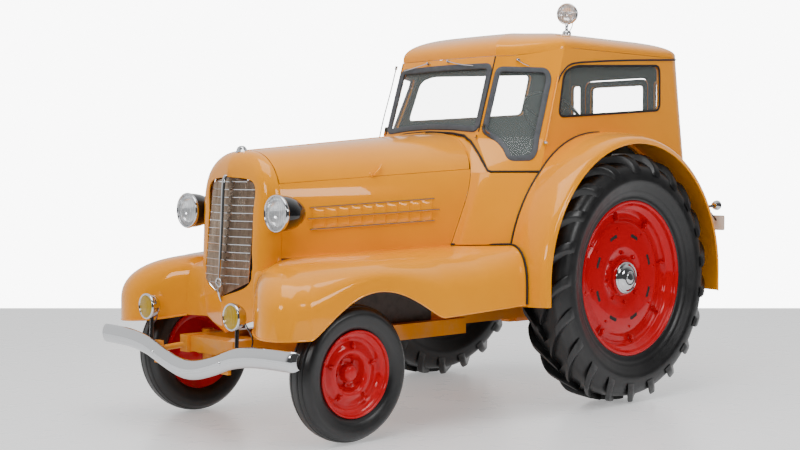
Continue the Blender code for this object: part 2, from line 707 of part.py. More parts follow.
def shell_and_grille():
    """The radiator shell round the grille, and the grille itself."""
    half = np.linspace(0, 1, 21)
    bend = np.linspace(0, math.pi / 2, 5)[None, :, None]
    outer, inner = shell_outer(half)[:, None], shell_inner(half)[:, None]
    turn_in = 1 - np.cos(bend) ** 0.9
    forward = np.sin(bend) ** 0.9
    left = np.concatenate([outer[..., :1] + (inner - outer)[..., :1] * turn_in,
                           outer[..., 1:2] + (inner - outer)[..., 1:2] * forward,
                           outer[..., 2:] + (inner - outer)[..., 2:] * turn_in], -1)
    right = left[-2:0:-1] * np.array([-1, 1, 1])
    sheet("grille_shell", np.concatenate([left, right]), "body", HOOD_SHEET, wrap=True,
          flip=True)
    across = np.linspace(-1, 1, 7)[:, None]
    up = np.linspace(0, 1, 4)[None, :]
    low = 0.716 + 0.082 * np.abs(across)
    high = 1.341 - 0.031 * np.abs(across) ** 1.5
    z = low * (1 - up) + high * up
    x = across * 0.190 + 0 * up
    y = -0.298 + 0.040 * np.abs(across) + 0.052 * up
    sheet("grille", np.stack([x, y, z], -1), "chrome", 0.012, flip=True)


SIDE_STATIONS = np.concatenate([2 + np.linspace(0, 1, 9), 3 + np.linspace(0, 1, 5)[1:], [4.03]])
REAR_STATIONS = np.linspace(4.03, 5, 5)
FRONT_STATIONS = np.array([0, 0.2, 0.4, 0.6, 0.76, 0.88, 0.95, 1.0, 1.2, 1.4, 1.6, 1.8, 2.0])


def sill_height(s):
    """Height of the cab's lower edge at a station from the windscreen to the crease."""
    return np.interp(s, [0, 0.5, 0.76, 0.88, 0.95, 1],
                     [1.601, 1.592, 1.575, 1.544, 1.475, CAB_SILL_Z])


def cowl():
    """The panel between the hood, the windscreen and the rear fenders, with firewall.

    A strip under the windscreen runs between the hood's rear edge and the cab's lower
    edge, and a flare on each side widens from the hood to the rear fender's seam.
    """
    place = FRONT_STATIONS[FRONT_STATIONS <= 1]
    height = sill_height(place) - np.interp(place, [0.7, 0.95], [SILL_GAP, FLARE_GAP])
    x, y = cab_plan(place, height)
    rear = np.stack([x, y, height], -1)
    y = np.full(place.shape, hood_rear(CAB_SILL_Z))
    for _ in range(6):
        angle = place * hood_angle(y, CAB_SILL_Z - FLARE_GAP)
        x, z = hood_point(y, angle)
        y = hood_rear(z) + COWL_GAP
    front = np.stack([x, y, z], -1)
    share = np.linspace(0, 1, 4)[None, :, None]
    strip = front[:, None] * (1 - share) + rear[:, None] * share
    z = np.linspace(CAB_SILL_Z - FLARE_GAP, WAIST_Z, 9)[:, None]
    y_front = hood_rear(z) + COWL_GAP
    x_front = np.where(z > HOOD_SIDE_TOP, hood_point(y_front, hood_angle(y_front, z))[0],
                       hood_half(y_front))
    seam_r = REAR_FENDER_R + 0.003
    y_rear = WHEELBASE - np.sqrt(seam_r ** 2 - (z - REAR_TYRE_R) ** 2)
    bend_y = (rear[-1, 1] - front[-1, 1]) / (y_rear[0, 0] - front[-1, 1])
    bend_x = (rear[-1, 0] - front[-1, 0]) / (CAB_WAIST_HALF - front[-1, 0])
    step = np.concatenate([np.linspace(0, 1, 4), 1 + np.linspace(0, 1, 5)[1:]])[None, :]
    along = np.interp(step, [0, 1, 2], [0, bend_y, 1])
    out = np.interp(step, [0, 1, 2], [0, bend_x, 1])
    flare = np.stack([x_front + (CAB_WAIST_HALF - x_front) * out,
                      y_front + (y_rear - y_front) * along, z + 0 * along], -1)
    turn_over = np.array([-1, 1, 1])
    whole = np.concatenate([strip[:0:-1] * turn_over, strip])
    skin = sheet("cowl", [whole, flare, flare[::-1] * turn_over], "body", COWL_SHEET,
                 flip=True)
    edge = [(np.interp(FIREWALL_Y, row[:, 1], row[:, 0]) - COWL_SHEET / 2, row[0, 2])
            for row in flare if row[0, 1] < FIREWALL_Y]
    edge = [(0.34, 1.46)] + edge
    outline = edge + [(-x, z) for x, z in reversed(edge)]
    wall = prism("firewall", outline, "y", -FIREWALL_Y - 0.008, -FIREWALL_Y + 0.008,
                 look="body")
    return combine(skin, [wall])


# ---------------------------------------------------------------- fenders
def arch_edge(y):
    """Lower edge of the front fender and its skirt along the side."""
    front = 0.552
    rear = 0.600 + 0.032 * np.clip((y - 0.52) / 0.64, 0, 1)
    base = np.where(y < ARCH_Y, front, rear)
    share = np.clip(1 - ((y - ARCH_Y) / ARCH_HALF) ** 2, 0, 1)
    return base + (ARCH_TOP_Z - base) * share ** 1.3


def front_fenders():
    """Front fenders with the long skirts behind them."""
    lobe = through([(0.315, -0.30, 0.595), (0.45, -0.43, 0.568), (0.60, -0.498, 0.556),
                    (0.725, -0.455, 0.552), (FRONT_FENDER_X, -0.32, 0.552)],
                   np.linspace(0, 1, 9))
    seam_y = WHEELBASE - REAR_FENDER_R - 0.003
    side_y = np.linspace(-0.32, seam_y, 19)[1:]
    side_x_out = FRONT_FENDER_X + (SKIRT_REAR_X - FRONT_FENDER_X) * np.clip(
        (side_y + 0.32) / (seam_y + 0.32), 0, 1) ** 1.5
    side = np.stack([side_x_out, side_y, arch_edge(side_y)], -1)
    foot = np.concatenate([lobe, side])
    ridge_front = through([(0.308, -0.25, 0.862), (0.3075, -0.19, 0.893),
                           (0.3075, -0.14, 0.915), (0.322, 0.0, 0.93)],
                          np.linspace(0, 1, 10))
    waist_y = WHEELBASE - math.sqrt((REAR_FENDER_R + 0.003) ** 2
                                    - (WAIST_Z - REAR_TYRE_R) ** 2)
    ridge_y = np.interp(np.arange(17), [0, 12, 16], [0.06, 0.94, waist_y])
    ridge_x = np.where(ridge_y < SEAM_WAIST_Y, hood_half(ridge_y) - 0.004,
                       HOOD_REAR_HALF + (CAB_WAIST_HALF - HOOD_REAR_HALF)
                       * np.clip((ridge_y - SEAM_WAIST_Y) / (waist_y - SEAM_WAIST_Y), 0, 1)
                       ** 0.8)
    ridge_z = np.interp(ridge_y, [0, 0.94], [0.931, WAIST_Z - 8 * GAP])
    ridge = np.concatenate([ridge_front, np.stack([ridge_x, ridge_y, ridge_z], -1)])
    for hand, word in ((1, "left"), (-1, "right")):
        bend = np.linspace(0, math.pi / 2, 6)[None, :, None]
        shoulder = foot[:, None, 2:] + 0.3 * (ridge - foot)[:, None, 2:]
        out = np.sin(bend) ** 0.85
        down = 1 - np.cos(bend) ** 0.85
        plan = ridge[:, None, :2] + (foot - ridge)[:, None, :2] * out
        height = ridge[:, None, 2:] + (shoulder - ridge[:, None, 2:]) * down
        curved = np.concatenate([plan, height], -1)
        points = np.concatenate([curved, foot[:, None]], 1) * np.array([hand, 1, 1])
        sheet(f"front_fender_{word}", points, "body", FENDER_SHEET, flip=hand < 0)


def wall_x(y, z):
    """Half-width of the cab's side wall at a place behind the crease."""
    share = (y - crease_y(z)) / (CAB_REAR - REAR_CORNER_R - crease_y(z))
    return side_x(z) - CAB_REAR_TAPER * np.clip(share, 0, 1)


def rear_fenders():
    """Rear fenders swept over the wheels, from the cab's wall out to a rolled edge."""
    across = through([(0, REAR_FENDER_R), (0.4, REAR_FENDER_R + 0.001), (0.74,
                      REAR_FENDER_R - 0.014), (0.94, REAR_FENDER_R - 0.036),
                      (1, REAR_FENDER_EDGE_R)], np.linspace(0, 1, 8))
    angle = np.concatenate([[0], np.linspace(0, math.pi, 19), [math.pi]])[:, None]
    drop = np.zeros_like(angle)
    drop[0] = drop[-1] = FENDER_FOOT_Z - REAR_TYRE_R
    y = WHEELBASE - across[None, :, 1] * np.cos(angle)
    z = REAR_TYRE_R + across[None, :, 1] * np.sin(angle) + drop
    inner = wall_x(y, z) + WALL_JOINT
    x = inner + (REAR_FENDER_OUTER_X - inner) * across[None, :, 0]
    for hand, word in ((1, "left"), (-1, "right")):
        sheet(f"rear_fender_{word}", np.stack([x * hand, y, z], -1), "body", FENDER_SHEET,
              flip=hand < 0)


# ---------------------------------------------------------------- cab
def corner_frame(hand):
    """Origin, along and normal of the corner window's plane on one side."""
    flip = Vector((hand, 1, 1))
    return tuple(Vector(v) * flip for v in (CORNER_ORIGIN, CORNER_ALONG, CORNER_NORMAL))


def pane(name, points, outline, axis, low, high, flip):
    """A window pane: the wall's surface set back a little, trimmed to its opening."""
    glass = sheet(name, points, "glass", GLASS, flip=flip)
    shape = prism(f"{name}_shape", inset(outline, 0.0006), axis, low, high, cutter=True)
    return combine(glass, [shape], "INTERSECT")


def set_back(points, depth):
    """A point grid moved inwards along its own surface normals."""
    du = np.gradient(points, axis=0)
    dv = np.gradient(points, axis=1)
    normal = np.cross(du, dv)
    normal /= np.maximum(np.linalg.norm(normal, axis=-1, keepdims=True), 1e-9)
    return points - normal * depth


def cab_front():
    """Windscreen surround with both corner windows, and their three panes."""
    half = np.append(FRONT_STATIONS, CREASE_LIP)
    low_half = sill_height(half)
    stations = np.concatenate([-half[:0:-1], half])
    low = np.concatenate([low_half[:0:-1], low_half])
    frame = sheet("cab_front", cab_wall(stations, low, 6), "body", CAB_WALL, flip=True)
    screen = rounded(WINDSCREEN, WINDOW_R)
    holes = [prism("windscreen_hole", screen, "y", -2.0, -0.8, cutter=True)]
    for hand, word in ((1, "left"), (-1, "right")):
        holes.append(prism(f"corner_hole_{word}", rounded(CORNER_WINDOW, WINDOW_R),
                           corner_frame(hand), -CORNER_REACH, CORNER_REACH, cutter=True))
    combine(frame, holes, "DIFFERENCE")
    middle = cab_wall(np.linspace(-0.97, 0.97, 9), np.full(9, 1.56), 3)
    pane("windshield", set_back(middle, GLASS_SET), screen, "y", -2.0, -0.8, True)
    for hand, word in ((1, "left"), (-1, "right")):
        corner = cab_wall(np.linspace(1.03, 1.97, 4), np.full(4, 1.40), 4)
        corner = set_back(corner, GLASS_SET) * np.array([hand, 1, 1])
        pane(f"corner_glass_{word}", corner, rounded(CORNER_WINDOW, WINDOW_R),
             corner_frame(hand), -CORNER_REACH, CORNER_REACH, hand > 0)


def side_low(s):
    """Lower edge of the cab's side, which follows the rear fender and then drops."""
    y = cab_plan(s, 1.5)[1]
    return np.maximum(fender_circle(y, REAR_FENDER_R - WALL_TUCK), CAB_DROP_Z)


def cab_sides():
    """Both cab sides from the crease round the rear corner, and their panes."""
    s = SIDE_STATIONS.copy()
    s[0] = CREASE_LIP + 0.0005
    s[-1] -= 0.001
    for hand, word in ((1, "left"), (-1, "right")):
        points = cab_wall(s, side_low(s), 6)
        wall = sheet(f"cab_side_{word}", points * np.array([hand, 1, 1]), "body", CAB_WALL,
                     flip=hand > 0)
        outline = rounded(SIDE_WINDOW, WINDOW_R * 1.3)
        span = (0.4, 0.8) if hand > 0 else (-0.8, -0.4)
        hole = prism(f"side_hole_{word}", outline, "x", *span, cutter=True)
        combine(wall, [hole], "DIFFERENCE")
        glass = cab_wall(np.linspace(2.12, 2.9, 5), np.full(5, 1.64), 3)
        glass = set_back(glass, GLASS_SET) * np.array([hand, 1, 1])
        pane(f"side_glass_{word}", glass, outline, "x", *span, hand > 0)


def cab_rear():
    """The rear wall, its two small panes and the door with its pane."""
    s = np.concatenate([-REAR_STATIONS, REAR_STATIONS[-2::-1]])
    s[0] -= 0.001
    s[-1] += 0.001
    points = cab_wall(s, np.full(s.size, CAB_DROP_Z), 5)
    wall = sheet("cab_rear", points, "body", CAB_WALL)
    opening = rounded(DOOR_OPENING, 0.06)
    panes = {"left": rounded(REAR_WINDOW, 0.03), "right": mirrored(rounded(REAR_WINDOW, 0.03))}
    holes = [prism("door_hole", opening, "y", -3.2, -2.8, cutter=True)]
    holes += [prism(f"rear_hole_{word}", outline, "y", -3.2, -2.8, cutter=True)
              for word, outline in panes.items()]
    combine(wall, holes, "DIFFERENCE")
    back = set_back(points, -GLASS_SET)
    for word, outline in panes.items():
        pane(f"rear_glass_{word}", back, outline, "y", -3.2, -2.8, False)
    pivot = empty("door_hinge", (DOOR_HALF, DOOR_BARREL_Y, 1.4), ROOT)
    leaf = points - np.array(pivot.location)
    door = sheet("rear_door", leaf, "body", CAB_WALL, pivot)
    edge = inset(opening, MOVE_GAP)
    shape = prism("door_shape", edge, "y", -3.2, -2.8, cutter=True)
    window = rounded(DOOR_WINDOW, WINDOW_R)
    hole = prism("door_window_hole", window, "y", -3.2, -2.8, cutter=True)
    combine(door, [shape], "INTERSECT")
    combine(door, [hole], "DIFFERENCE")
    hinges = []
    for z in (-0.32, 0.32):
        hinges.append(rod(f"hinge_barrel_{z}", (0, 0, z - 0.04), (0, 0, z + 0.04), HINGE_R,
                          "body", pivot, sides=12))
        hinges.append(box(f"hinge_strap_{z}", (-0.06, -HINGE_R - 0.006, z - 0.02),
                          (0, HINGE_R * 0.4, z + 0.02), "body", pivot))
    combine(door, hinges)
    glass = sheet("door_glass", back - np.array(pivot.location), "glass", GLASS, pivot)
    cut = prism("door_glass_shape", inset(window, 0.0006), "y", -3.2, -2.8, cutter=True)
    combine(glass, [cut], "INTERSECT")


def roof():
    """The roof, a dome over the cab's outline that starts upright at the eave."""
    half = np.concatenate([FRONT_STATIONS, SIDE_STATIONS[1:], REAR_STATIONS[1:]])
    x, y = cab_plan(half, 2.05)
    edge = eave(y)
    x, y = cab_plan(half, edge)
    left = np.stack([x, y, edge], -1)
    ring = np.concatenate([left, left[-2:0:-1] * np.array([-1, 1, 1])])
    middle = np.array([0, 2.15, 0])
    bend = np.linspace(0, math.pi / 2, 6)[None, :, None]
    reach = np.cos(bend) ** 0.8
    lift = np.sin(bend) ** 0.8
    plan = middle + (ring[:, None] - middle) * reach
    height = ring[:, None, 2:] + (CAB_EAVE_Z + CAB_EAVE_RISE + ROOF_HEIGHT
                                  - ring[:, None, 2:]) * lift
    dome = np.concatenate([plan[..., :2], height], -1)
    dome[..., 2] += DRIP_RAIL
    points = np.concatenate([ring[:, None], dome], 1)
    sheet("roof", points, "body", 0.02, wrap=True, flip=True)


def tub():
    """Cab floor with the two wheel wells and the toe board."""
    floor = box("cab_tub", (-0.59, 1.20, CAB_FLOOR_Z), (0.59, 2.88, CAB_FLOOR_Z + CAB_FLOOR_T),
                "lining")
    tail = box("floor_tail", (-0.40, 2.87, CAB_FLOOR_Z), (0.40, CAB_REAR - CAB_WALL - GAP,
                                                         CAB_FLOOR_Z + CAB_FLOOR_T), "lining")
    toe = box("toe_board", (-0.50, 1.19, CAB_FLOOR_Z), (0.50, 1.21, 1.34), "lining")
    wells = []
    radius = REAR_FENDER_R - 0.012
    turn = np.linspace(0, math.pi, 25)
    arc = [(WHEELBASE - radius * math.cos(a), REAR_TYRE_R + radius * math.sin(a))
           for a in turn]
    outline = [(WHEELBASE - radius, FENDER_FOOT_Z)] + arc + [(WHEELBASE + radius,
                                                              FENDER_FOOT_Z)]
    for hand in (-1, 1):
        span = sorted((hand * 0.570, hand * 0.600))
        wells.append(prism(f"wheel_well_{hand}", outline, "x", *span, look="lining"))
    tub_body = combine(floor, [toe, tail] + wells)
    hole = rod("axle_hole", (-0.7, WHEELBASE, REAR_TYRE_R), (0.7, WHEELBASE, REAR_TYRE_R),
               0.12, cutter=True)
    return combine(tub_body, [hole], "DIFFERENCE")


# ---------------------------------------------------------------- inside the cab
def cab_fittings():
    """Dashboard, steering column and wheel, and the driver's seat."""
    dash = box("dashboard", (-0.42, DASH_FRONT_Y, 1.17), (0.42, DASH_REAR_Y, 1.55), "lining")
    foot = STEER_CENTRE - STEER_LEAN * (0.05 + GAP)
    run = STEER_CENTRE.y - DASH_REAR_Y + 0.03
    base = STEER_CENTRE - STEER_LEAN * (run / STEER_LEAN.y)
    combine(dash, [rod("steering_column", base, foot, 0.022, "black")])
    pivot = empty("steering_axis", STEER_CENTRE, ROOT)
    pivot.rotation_euler = STEER_LEAN.to_track_quat("Z", "Y").to_euler()
    hub = rod("steering_wheel", (0, 0, -0.05), (0, 0, 0.012), 0.03, "black", pivot)
    turn = np.linspace(math.pi, -math.pi, 7)[:-1]
    section = [(STEER_R + STEER_RIM * math.cos(a), STEER_RIM * math.sin(a)) for a in turn]
    rim = turned("steering_rim", section, "black", (0, 0, 0), (0, 0, 1), pivot, steps=20,
                 closed=True)
    spokes = [rod(f"spoke_{k}", (0, 0, -0.006),
                  (STEER_R * math.cos(a), STEER_R * math.sin(a), 0), 0.008, "black", pivot,
                  sides=8) for k, a in enumerate((math.pi / 2, math.pi * 7 / 6,
                                                  math.pi * 11 / 6))]
    combine(hub, [rim] + spokes)
    floor = CAB_FLOOR_Z + CAB_FLOOR_T
    left, right = SEAT_X - SEAT_HALF, SEAT_X + SEAT_HALF
    front, back = SEAT_FRONT_Y, SEAT_FRONT_Y + SEAT_DEPTH
    box("seat_base", (left + 0.04, front + 0.05, floor + GAP),
        (right - 0.04, back - 0.02, SEAT_Z), "black")
    box("seat_cushion", (left, front, SEAT_Z + GAP), (right, back, SEAT_Z + SEAT_PAD),
        "upholstery")
    low = SEAT_Z + SEAT_PAD + GAP
    outline = [(back - 0.08, low), (back + 0.03, low),
               (back + 0.03 + BACK_LEAN, low + BACK_RISE),
               (back - 0.06 + BACK_LEAN, low + BACK_RISE)]
    prism("seat_back", outline, "x", left, right, "upholstery")


# ---------------------------------------------------------------- bumper and lamps
def bumper():
    """A bowed bar, level outside and dipping in the middle."""
    crown = BUMPER_FRONT + BUMPER_SHEET + BUMPER_BOW
    half = [(0, 0, 0.352), (0.22, 0.005, 0.392), (0.40, 0.008, 0.446), (0.60, 0.013, 0.468),
            (BUMPER_HALF, 0.023, 0.470)]
    half = [(x, crown + back, z) for x, back, z in half]
    path = through([(-x, y, z) for x, y, z in half[:0:-1]] + half, np.linspace(0, 1, 21))
    across = np.linspace(-1, 1, 5)
    bow = BUMPER_SHEET + BUMPER_BOW * (1 - across ** 2)
    front = np.stack([0 * across, -bow, BUMPER_H / 2 * across], -1)
    sheet("bumper", path[:, None] + front[None], "chrome", BUMPER_SHEET, flip=True)


def lamps():
    """Headlamps, fog lamps on the bumper and the spot lamp on the roof."""
    for hand, word in ((1, "left"), (-1, "right")):
        side = Vector((hand, 1, 1))
        r = LAMP_R
        shape = [(0, 0.028), (r * 0.45, 0.024), (r * 0.8, 0.012), (r, 0.0), (r + 0.004, -0.01),
                 (r, -0.02), (r * 0.97, -0.06), (r * 0.86, -0.11), (r * 0.62, -0.155),
                 (r * 0.3, -0.18), (0, -0.186)]
        lamp = turned(f"headlamp_{word}", shape, "black", LAMP * side, (0, -1, 0), steps=28)
        reach = hood_half(-0.098) + GAP
        stub = rod(f"lamp_stub_{word}", (hand * reach, -0.118, LAMP.z),
                   (hand * LAMP.x, -0.118, LAMP.z), 0.02, "body", sides=12)
        combine(lamp, [stub])
        r = FOG_R
        shape = [(0, 0.016), (r * 0.6, 0.012), (r, 0.0), (r, -0.014), (r * 0.9, -0.045),
                 (r * 0.6, -0.07), (0, -0.08)]
        fog = turned(f"fog_lamp_{word}", shape, "chrome", FOG * side, (0, -1, 0), steps=24)
        foot = Vector((FOG.x * hand, FOG.y + 0.0265, 0.43))
        stalk = rod(f"fog_stalk_{word}", foot, foot + Vector((0, 0, 0.17)), 0.011, "black",
                    sides=12)
        combine(fog, [stalk])
    r = SPOT_R
    shape = [(0, 0.012), (r * 0.6, 0.010), (r, 0.0), (r, -0.014), (r * 0.92, -0.045),
             (r * 0.62, -0.075), (0, -0.09)]
    spot = turned("spot_lamp", shape, "chrome", SPOT, SPOT_AIM, steps=24)
    foot = Vector((SPOT.x, SPOT.y, roof_height(SPOT.x, SPOT.y) + 0.0025))
    stem = rod("spot_stem", foot, SPOT - SPOT_AIM * 0.03, 0.012, "chrome", sides=12)
    base = rod("spot_base", foot, foot + Vector((0, 0, 0.014)), 0.028, "chrome", sides=16)
    combine(spot, [stem, base])


def roof_height(x, y):
    """Height of the roof's skin near the middle, from the dome's formula."""
    edge = CAB_EAVE_Z + CAB_EAVE_RISE
    reach = x / float(wall_x(y, edge))
    return edge + DRIP_RAIL + ROOF_HEIGHT * (1 - reach ** 2.5) ** 0.4


def main():
    """Build every part."""
    start_scene()
    wheels()
    steering_links()
    chassis()
    hood()
    shell_and_grille()
    cowl()
    front_fenders()
    rear_fenders()
    cab_front()
    cab_sides()
    cab_rear()
    roof()
    tub()
    cab_fittings()
    bumper()
    lamps()


main()
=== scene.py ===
import math

import bmesh
import bpy
import numpy as np
from bpy.props import FloatProperty, FloatVectorProperty, IntProperty, PointerProperty
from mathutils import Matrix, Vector


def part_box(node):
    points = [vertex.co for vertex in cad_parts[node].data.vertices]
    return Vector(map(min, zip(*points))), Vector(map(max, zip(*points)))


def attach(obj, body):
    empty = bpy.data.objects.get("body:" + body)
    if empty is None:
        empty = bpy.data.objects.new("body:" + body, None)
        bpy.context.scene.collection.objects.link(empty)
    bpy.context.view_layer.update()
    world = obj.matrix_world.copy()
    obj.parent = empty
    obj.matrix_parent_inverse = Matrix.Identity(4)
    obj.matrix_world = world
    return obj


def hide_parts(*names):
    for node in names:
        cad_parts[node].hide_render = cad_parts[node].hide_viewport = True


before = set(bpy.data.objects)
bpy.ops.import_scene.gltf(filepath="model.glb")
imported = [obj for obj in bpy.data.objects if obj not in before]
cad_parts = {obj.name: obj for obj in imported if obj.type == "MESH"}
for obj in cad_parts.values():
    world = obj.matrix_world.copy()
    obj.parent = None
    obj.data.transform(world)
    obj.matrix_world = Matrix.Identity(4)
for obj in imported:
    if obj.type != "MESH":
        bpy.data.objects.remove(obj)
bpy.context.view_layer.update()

bl_info = {
    "name": "Vintage cab tractor",
    "version": (1, 0, 0),
    "blender": (4, 5, 0),
    "location": "View3D > Sidebar > Tractor",
    "description": "Detailed visible surfaces and finishes around the packed tractor",
    "category": "Object",
}

# ------------------------------------------------------------------ sizes of the frame
WHEELBASE = 2.029
REAR_LOW, REAR_HIGH = (np.array(v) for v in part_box("rear_tyre_left"))
SHIFT = float((REAR_LOW[1] + REAR_HIGH[1]) / 2) - WHEELBASE  # frame's y of the front axle
REAR_R = float(REAR_HIGH[2] - REAR_LOW[2]) / 2
REAR_X = float(REAR_LOW[0] + REAR_HIGH[0]) / 2
REAR_W = float(REAR_HIGH[0] - REAR_LOW[0])
FRONT_R = 0.3524
FRONT_W = 0.161
FRONT_X = 0.672
FRONT_Z = 0.35434
CAMBER = math.radians(1.9)
SEAM_Y = 0.94
SEAM_LEAN = 0.41
WAIST_Z = 0.962
HOOD_FRONT_Y = -0.14
HOOD_SIDE_TOP = 1.15
CAB_SILL_Z = 1.373
CAB_REAR = 3.03
REAR_CORNER_R = 0.15
REAR_PANEL = 0.42
FENDER_R = 0.866
FENDER_EDGE_R = 0.80
FENDER_X = 0.957
FENDER_FOOT = 0.62
LAMP = (0.393, -0.242, 1.158)
FOG = (0.382, -0.515, 0.651)
SPOT = (0.30, 2.13, 2.352)
APRON_SHARE = 0.201  # share of the front fender's length that the filler runs along
VIEW_TURN = 46.9033  # degrees the camera is turned about Z
FLOOR_HALF = 5.51


# ------------------------------------------------------------------ mesh building
def lattice(rows, cols):
    """Row and column shares from 0 to 1, as a column and a row ready to broadcast."""
    return np.linspace(0, 1, rows)[:, None], np.linspace(0, 1, cols)[None, :]


def stack(x, y, z):
    """Three coordinate arrays as points in the last axis."""
    return np.stack(np.broadcast_arrays(x, y, z), -1)


def make_object(name, grids, inside=None, closed=False, sharp=32):
    """One mesh object from point grids.

    Each grid is (..., rows, columns, 3): neighbouring points are joined by quads, and
    leading axes are repeats of the same shape. Points that meet are merged, so a row
    drawn together at a pole closes it. A sheet faces away from the inside point, and
    a closed body has its faces turned outwards.
    """
    verts, quads, count = [], [], 0
    for grid in grids:
        grid = np.asarray(grid, float)
        rows, cols = grid.shape[-3:-1]
        copies = grid.reshape(-1, rows * cols, 3)
        index = np.arange(rows * cols).reshape(rows, cols)
        cell = np.stack([index[:-1, :-1], index[:-1, 1:], index[1:, 1:], index[1:, :-1]], -1)
        cell = cell.reshape(-1, 4)
        if inside is not None:
            p = copies[:, cell]
            normal = np.cross(p[:, :, 2] - p[:, :, 0], p[:, :, 3] - p[:, :, 1])
            out = np.sum(normal * (p.mean(axis=2) - np.asarray(inside, float)))
            cell = cell[:, ::-1] if out < 0 else cell
        starts = count + np.arange(len(copies))[:, None, None] * rows * cols
        quads.append((cell[None] + starts).reshape(-1, 4))
        verts.append(copies.reshape(-1, 3))
        count += copies.shape[0] * rows * cols
    verts = np.concatenate(verts) + np.array([0, SHIFT, 0])
    quads = np.concatenate(quads)
    mesh = bpy.data.meshes.new(name)
    mesh.vertices.add(len(verts))
    mesh.vertices.foreach_set("co", verts.ravel())
    mesh.loops.add(quads.size)
    mesh.loops.foreach_set("vertex_index", quads.ravel())
    mesh.polygons.add(len(quads))
    mesh.polygons.foreach_set("loop_start", np.arange(0, quads.size, 4))
    mesh.update(calc_edges=True)
    work = bmesh.new()
    work.from_mesh(mesh)
    bmesh.ops.remove_doubles(work, verts=work.verts, dist=2e-5)
    if closed:
        bmesh.ops.recalc_face_normals(work, faces=work.faces)
    work.to_mesh(mesh)
    work.free()
    mesh.shade_smooth()
    mesh.set_sharp_from_angle(angle=math.radians(sharp))
    made = bpy.data.objects.new(name, mesh)
    bpy.context.scene.collection.objects.link(made)
    return made


def dress(made, finish, body, slot, *nodes):
    """Gives a piece its finish, the body it rides on and the nodes it stands for."""
    made.data.materials.append(finish)
    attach(made, body)
    if nodes:
        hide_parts(*nodes)
    return made


def panel(name, grids, inside, finish, *nodes, body="chassis", slot="body", wall=0.006,
          edge=0.0012, lining=None):
    """A sheet-metal panel: grids facing away from inside, a wall behind, soft edges."""
    made = make_object(name, grids, inside)
    solid = made.modifiers.new("wall", "SOLIDIFY")
    solid.thickness = wall
    solid.offset = -1
    solid.material_offset = 1 if lining else 0
    soft = made.modifiers.new("edge", "BEVEL")
    soft.width = edge
    soft.segments = 2
    soft.limit_method = "ANGLE"
    soft.angle_limit = math.radians(50)
    soft.harden_normals = True
    dress(made, finish, body, slot, *nodes)
    if lining:
        made.data.materials.append(lining)
    return made


def frames(path, up, loop=False):
    """Tangent, side and lift directions along a path, with the lift kept near up."""
    path = np.asarray(path, float)
    if loop:
        tangent = np.roll(path, -1, 0) - np.roll(path, 1, 0)
    else:
        tangent = np.gradient(path, axis=0)
    tangent /= np.maximum(np.linalg.norm(tangent, axis=-1, keepdims=True), 1e-12)
    side = np.cross(tangent, np.broadcast_to(np.asarray(up, float), path.shape))
    side /= np.maximum(np.linalg.norm(side, axis=-1, keepdims=True), 1e-12)
    return tangent, side, np.cross(side, tangent)


def sweep(path, section, up=(0, 0, 1), loop=False, scale=None):
    """A closed section carried along a path: point = path + side * a + lift * b.

    The section holds (a, b) pairs. Open ends are drawn together to close them.
    """
    path = np.asarray(path, float)
    _, side, rise = frames(path, up, loop)
    section = np.asarray(section, float)
    section = np.vstack([section, section[:1]])
    size = np.ones(len(path)) if scale is None else np.asarray(scale, float)
    grid = (path[:, None] + side[:, None] * section[None, :, :1] * size[:, None, None]
            + rise[:, None] * section[None, :, 1:] * size[:, None, None])
    if loop:
        return np.concatenate([grid, grid[:1]])
    first = np.broadcast_to(grid[0].mean(axis=0), grid[:1].shape)
    last = np.broadcast_to(grid[-1].mean(axis=0), grid[:1].shape)
    return np.concatenate([first, grid, last])


def circle(radius, steps=10, flat=1.0):
    """A round or oval section as (a, b) pairs; flat squeezes the second coordinate."""
    turn = np.linspace(0, 2 * math.pi, steps, endpoint=False)
    return np.stack([radius * np.cos(turn), radius * flat * np.sin(turn)], -1)


def rounded_bar(width, height, radius, steps=3):
    """A rectangle with rounded corners as (a, b) pairs, centred on zero."""
    turn = np.linspace(0, math.pi / 2, steps + 1)
    quarter = np.stack([np.cos(turn), np.sin(turn)], -1) * radius
    reach = np.array([width / 2 - radius, height / 2 - radius])
    parts = []
    for k, sign in enumerate(((1, 1), (-1, 1), (-1, -1), (1, -1))):
        c, s = math.cos(k * math.pi / 2), math.sin(k * math.pi / 2)
        parts.append(quarter @ np.array([[c, s], [-s, c]]) + reach * np.array(sign))
    return np.concatenate(parts)


def lathe(profile, centre, axis, steps=64):
    """A profile of (radius, distance) pairs turned about an axis through the centre."""
    axis = np.asarray(axis, float) / np.linalg.norm(axis)
    base = np.cross(axis, (0, 0, 1)) if abs(axis[2]) < 0.9 else np.cross(axis, (1, 0, 0))
    base /= np.linalg.norm(base)
    other = np.cross(axis, base)
    angle = np.linspace(0, 2 * math.pi, steps + 1)[:, None, None]
    profile = np.asarray(profile, float)
    round_part = (np.cos(angle) * base + np.sin(angle) * other) * profile[None, :, :1]
    return np.asarray(centre, float) + round_part + profile[None, :, 1:] * axis


def around(grid, centre, axis, count, first=0.0):
    """Copies of a grid spaced evenly round an axis."""
    axis = np.asarray(axis, float) / np.linalg.norm(axis)
    angle = first + np.arange(count) * 2 * math.pi / count
    k = np.array([[0, -axis[2], axis[1]], [axis[2], 0, -axis[0]], [-axis[1], axis[0], 0]])
    turns = (np.eye(3) + np.sin(angle)[:, None, None] * k
             + (1 - np.cos(angle))[:, None, None] * (k @ k))
    moved = np.asarray(grid, float) - np.asarray(centre, float)
    out = np.einsum("nij,...j->n...i", turns, moved)
    return out + np.asarray(centre, float)


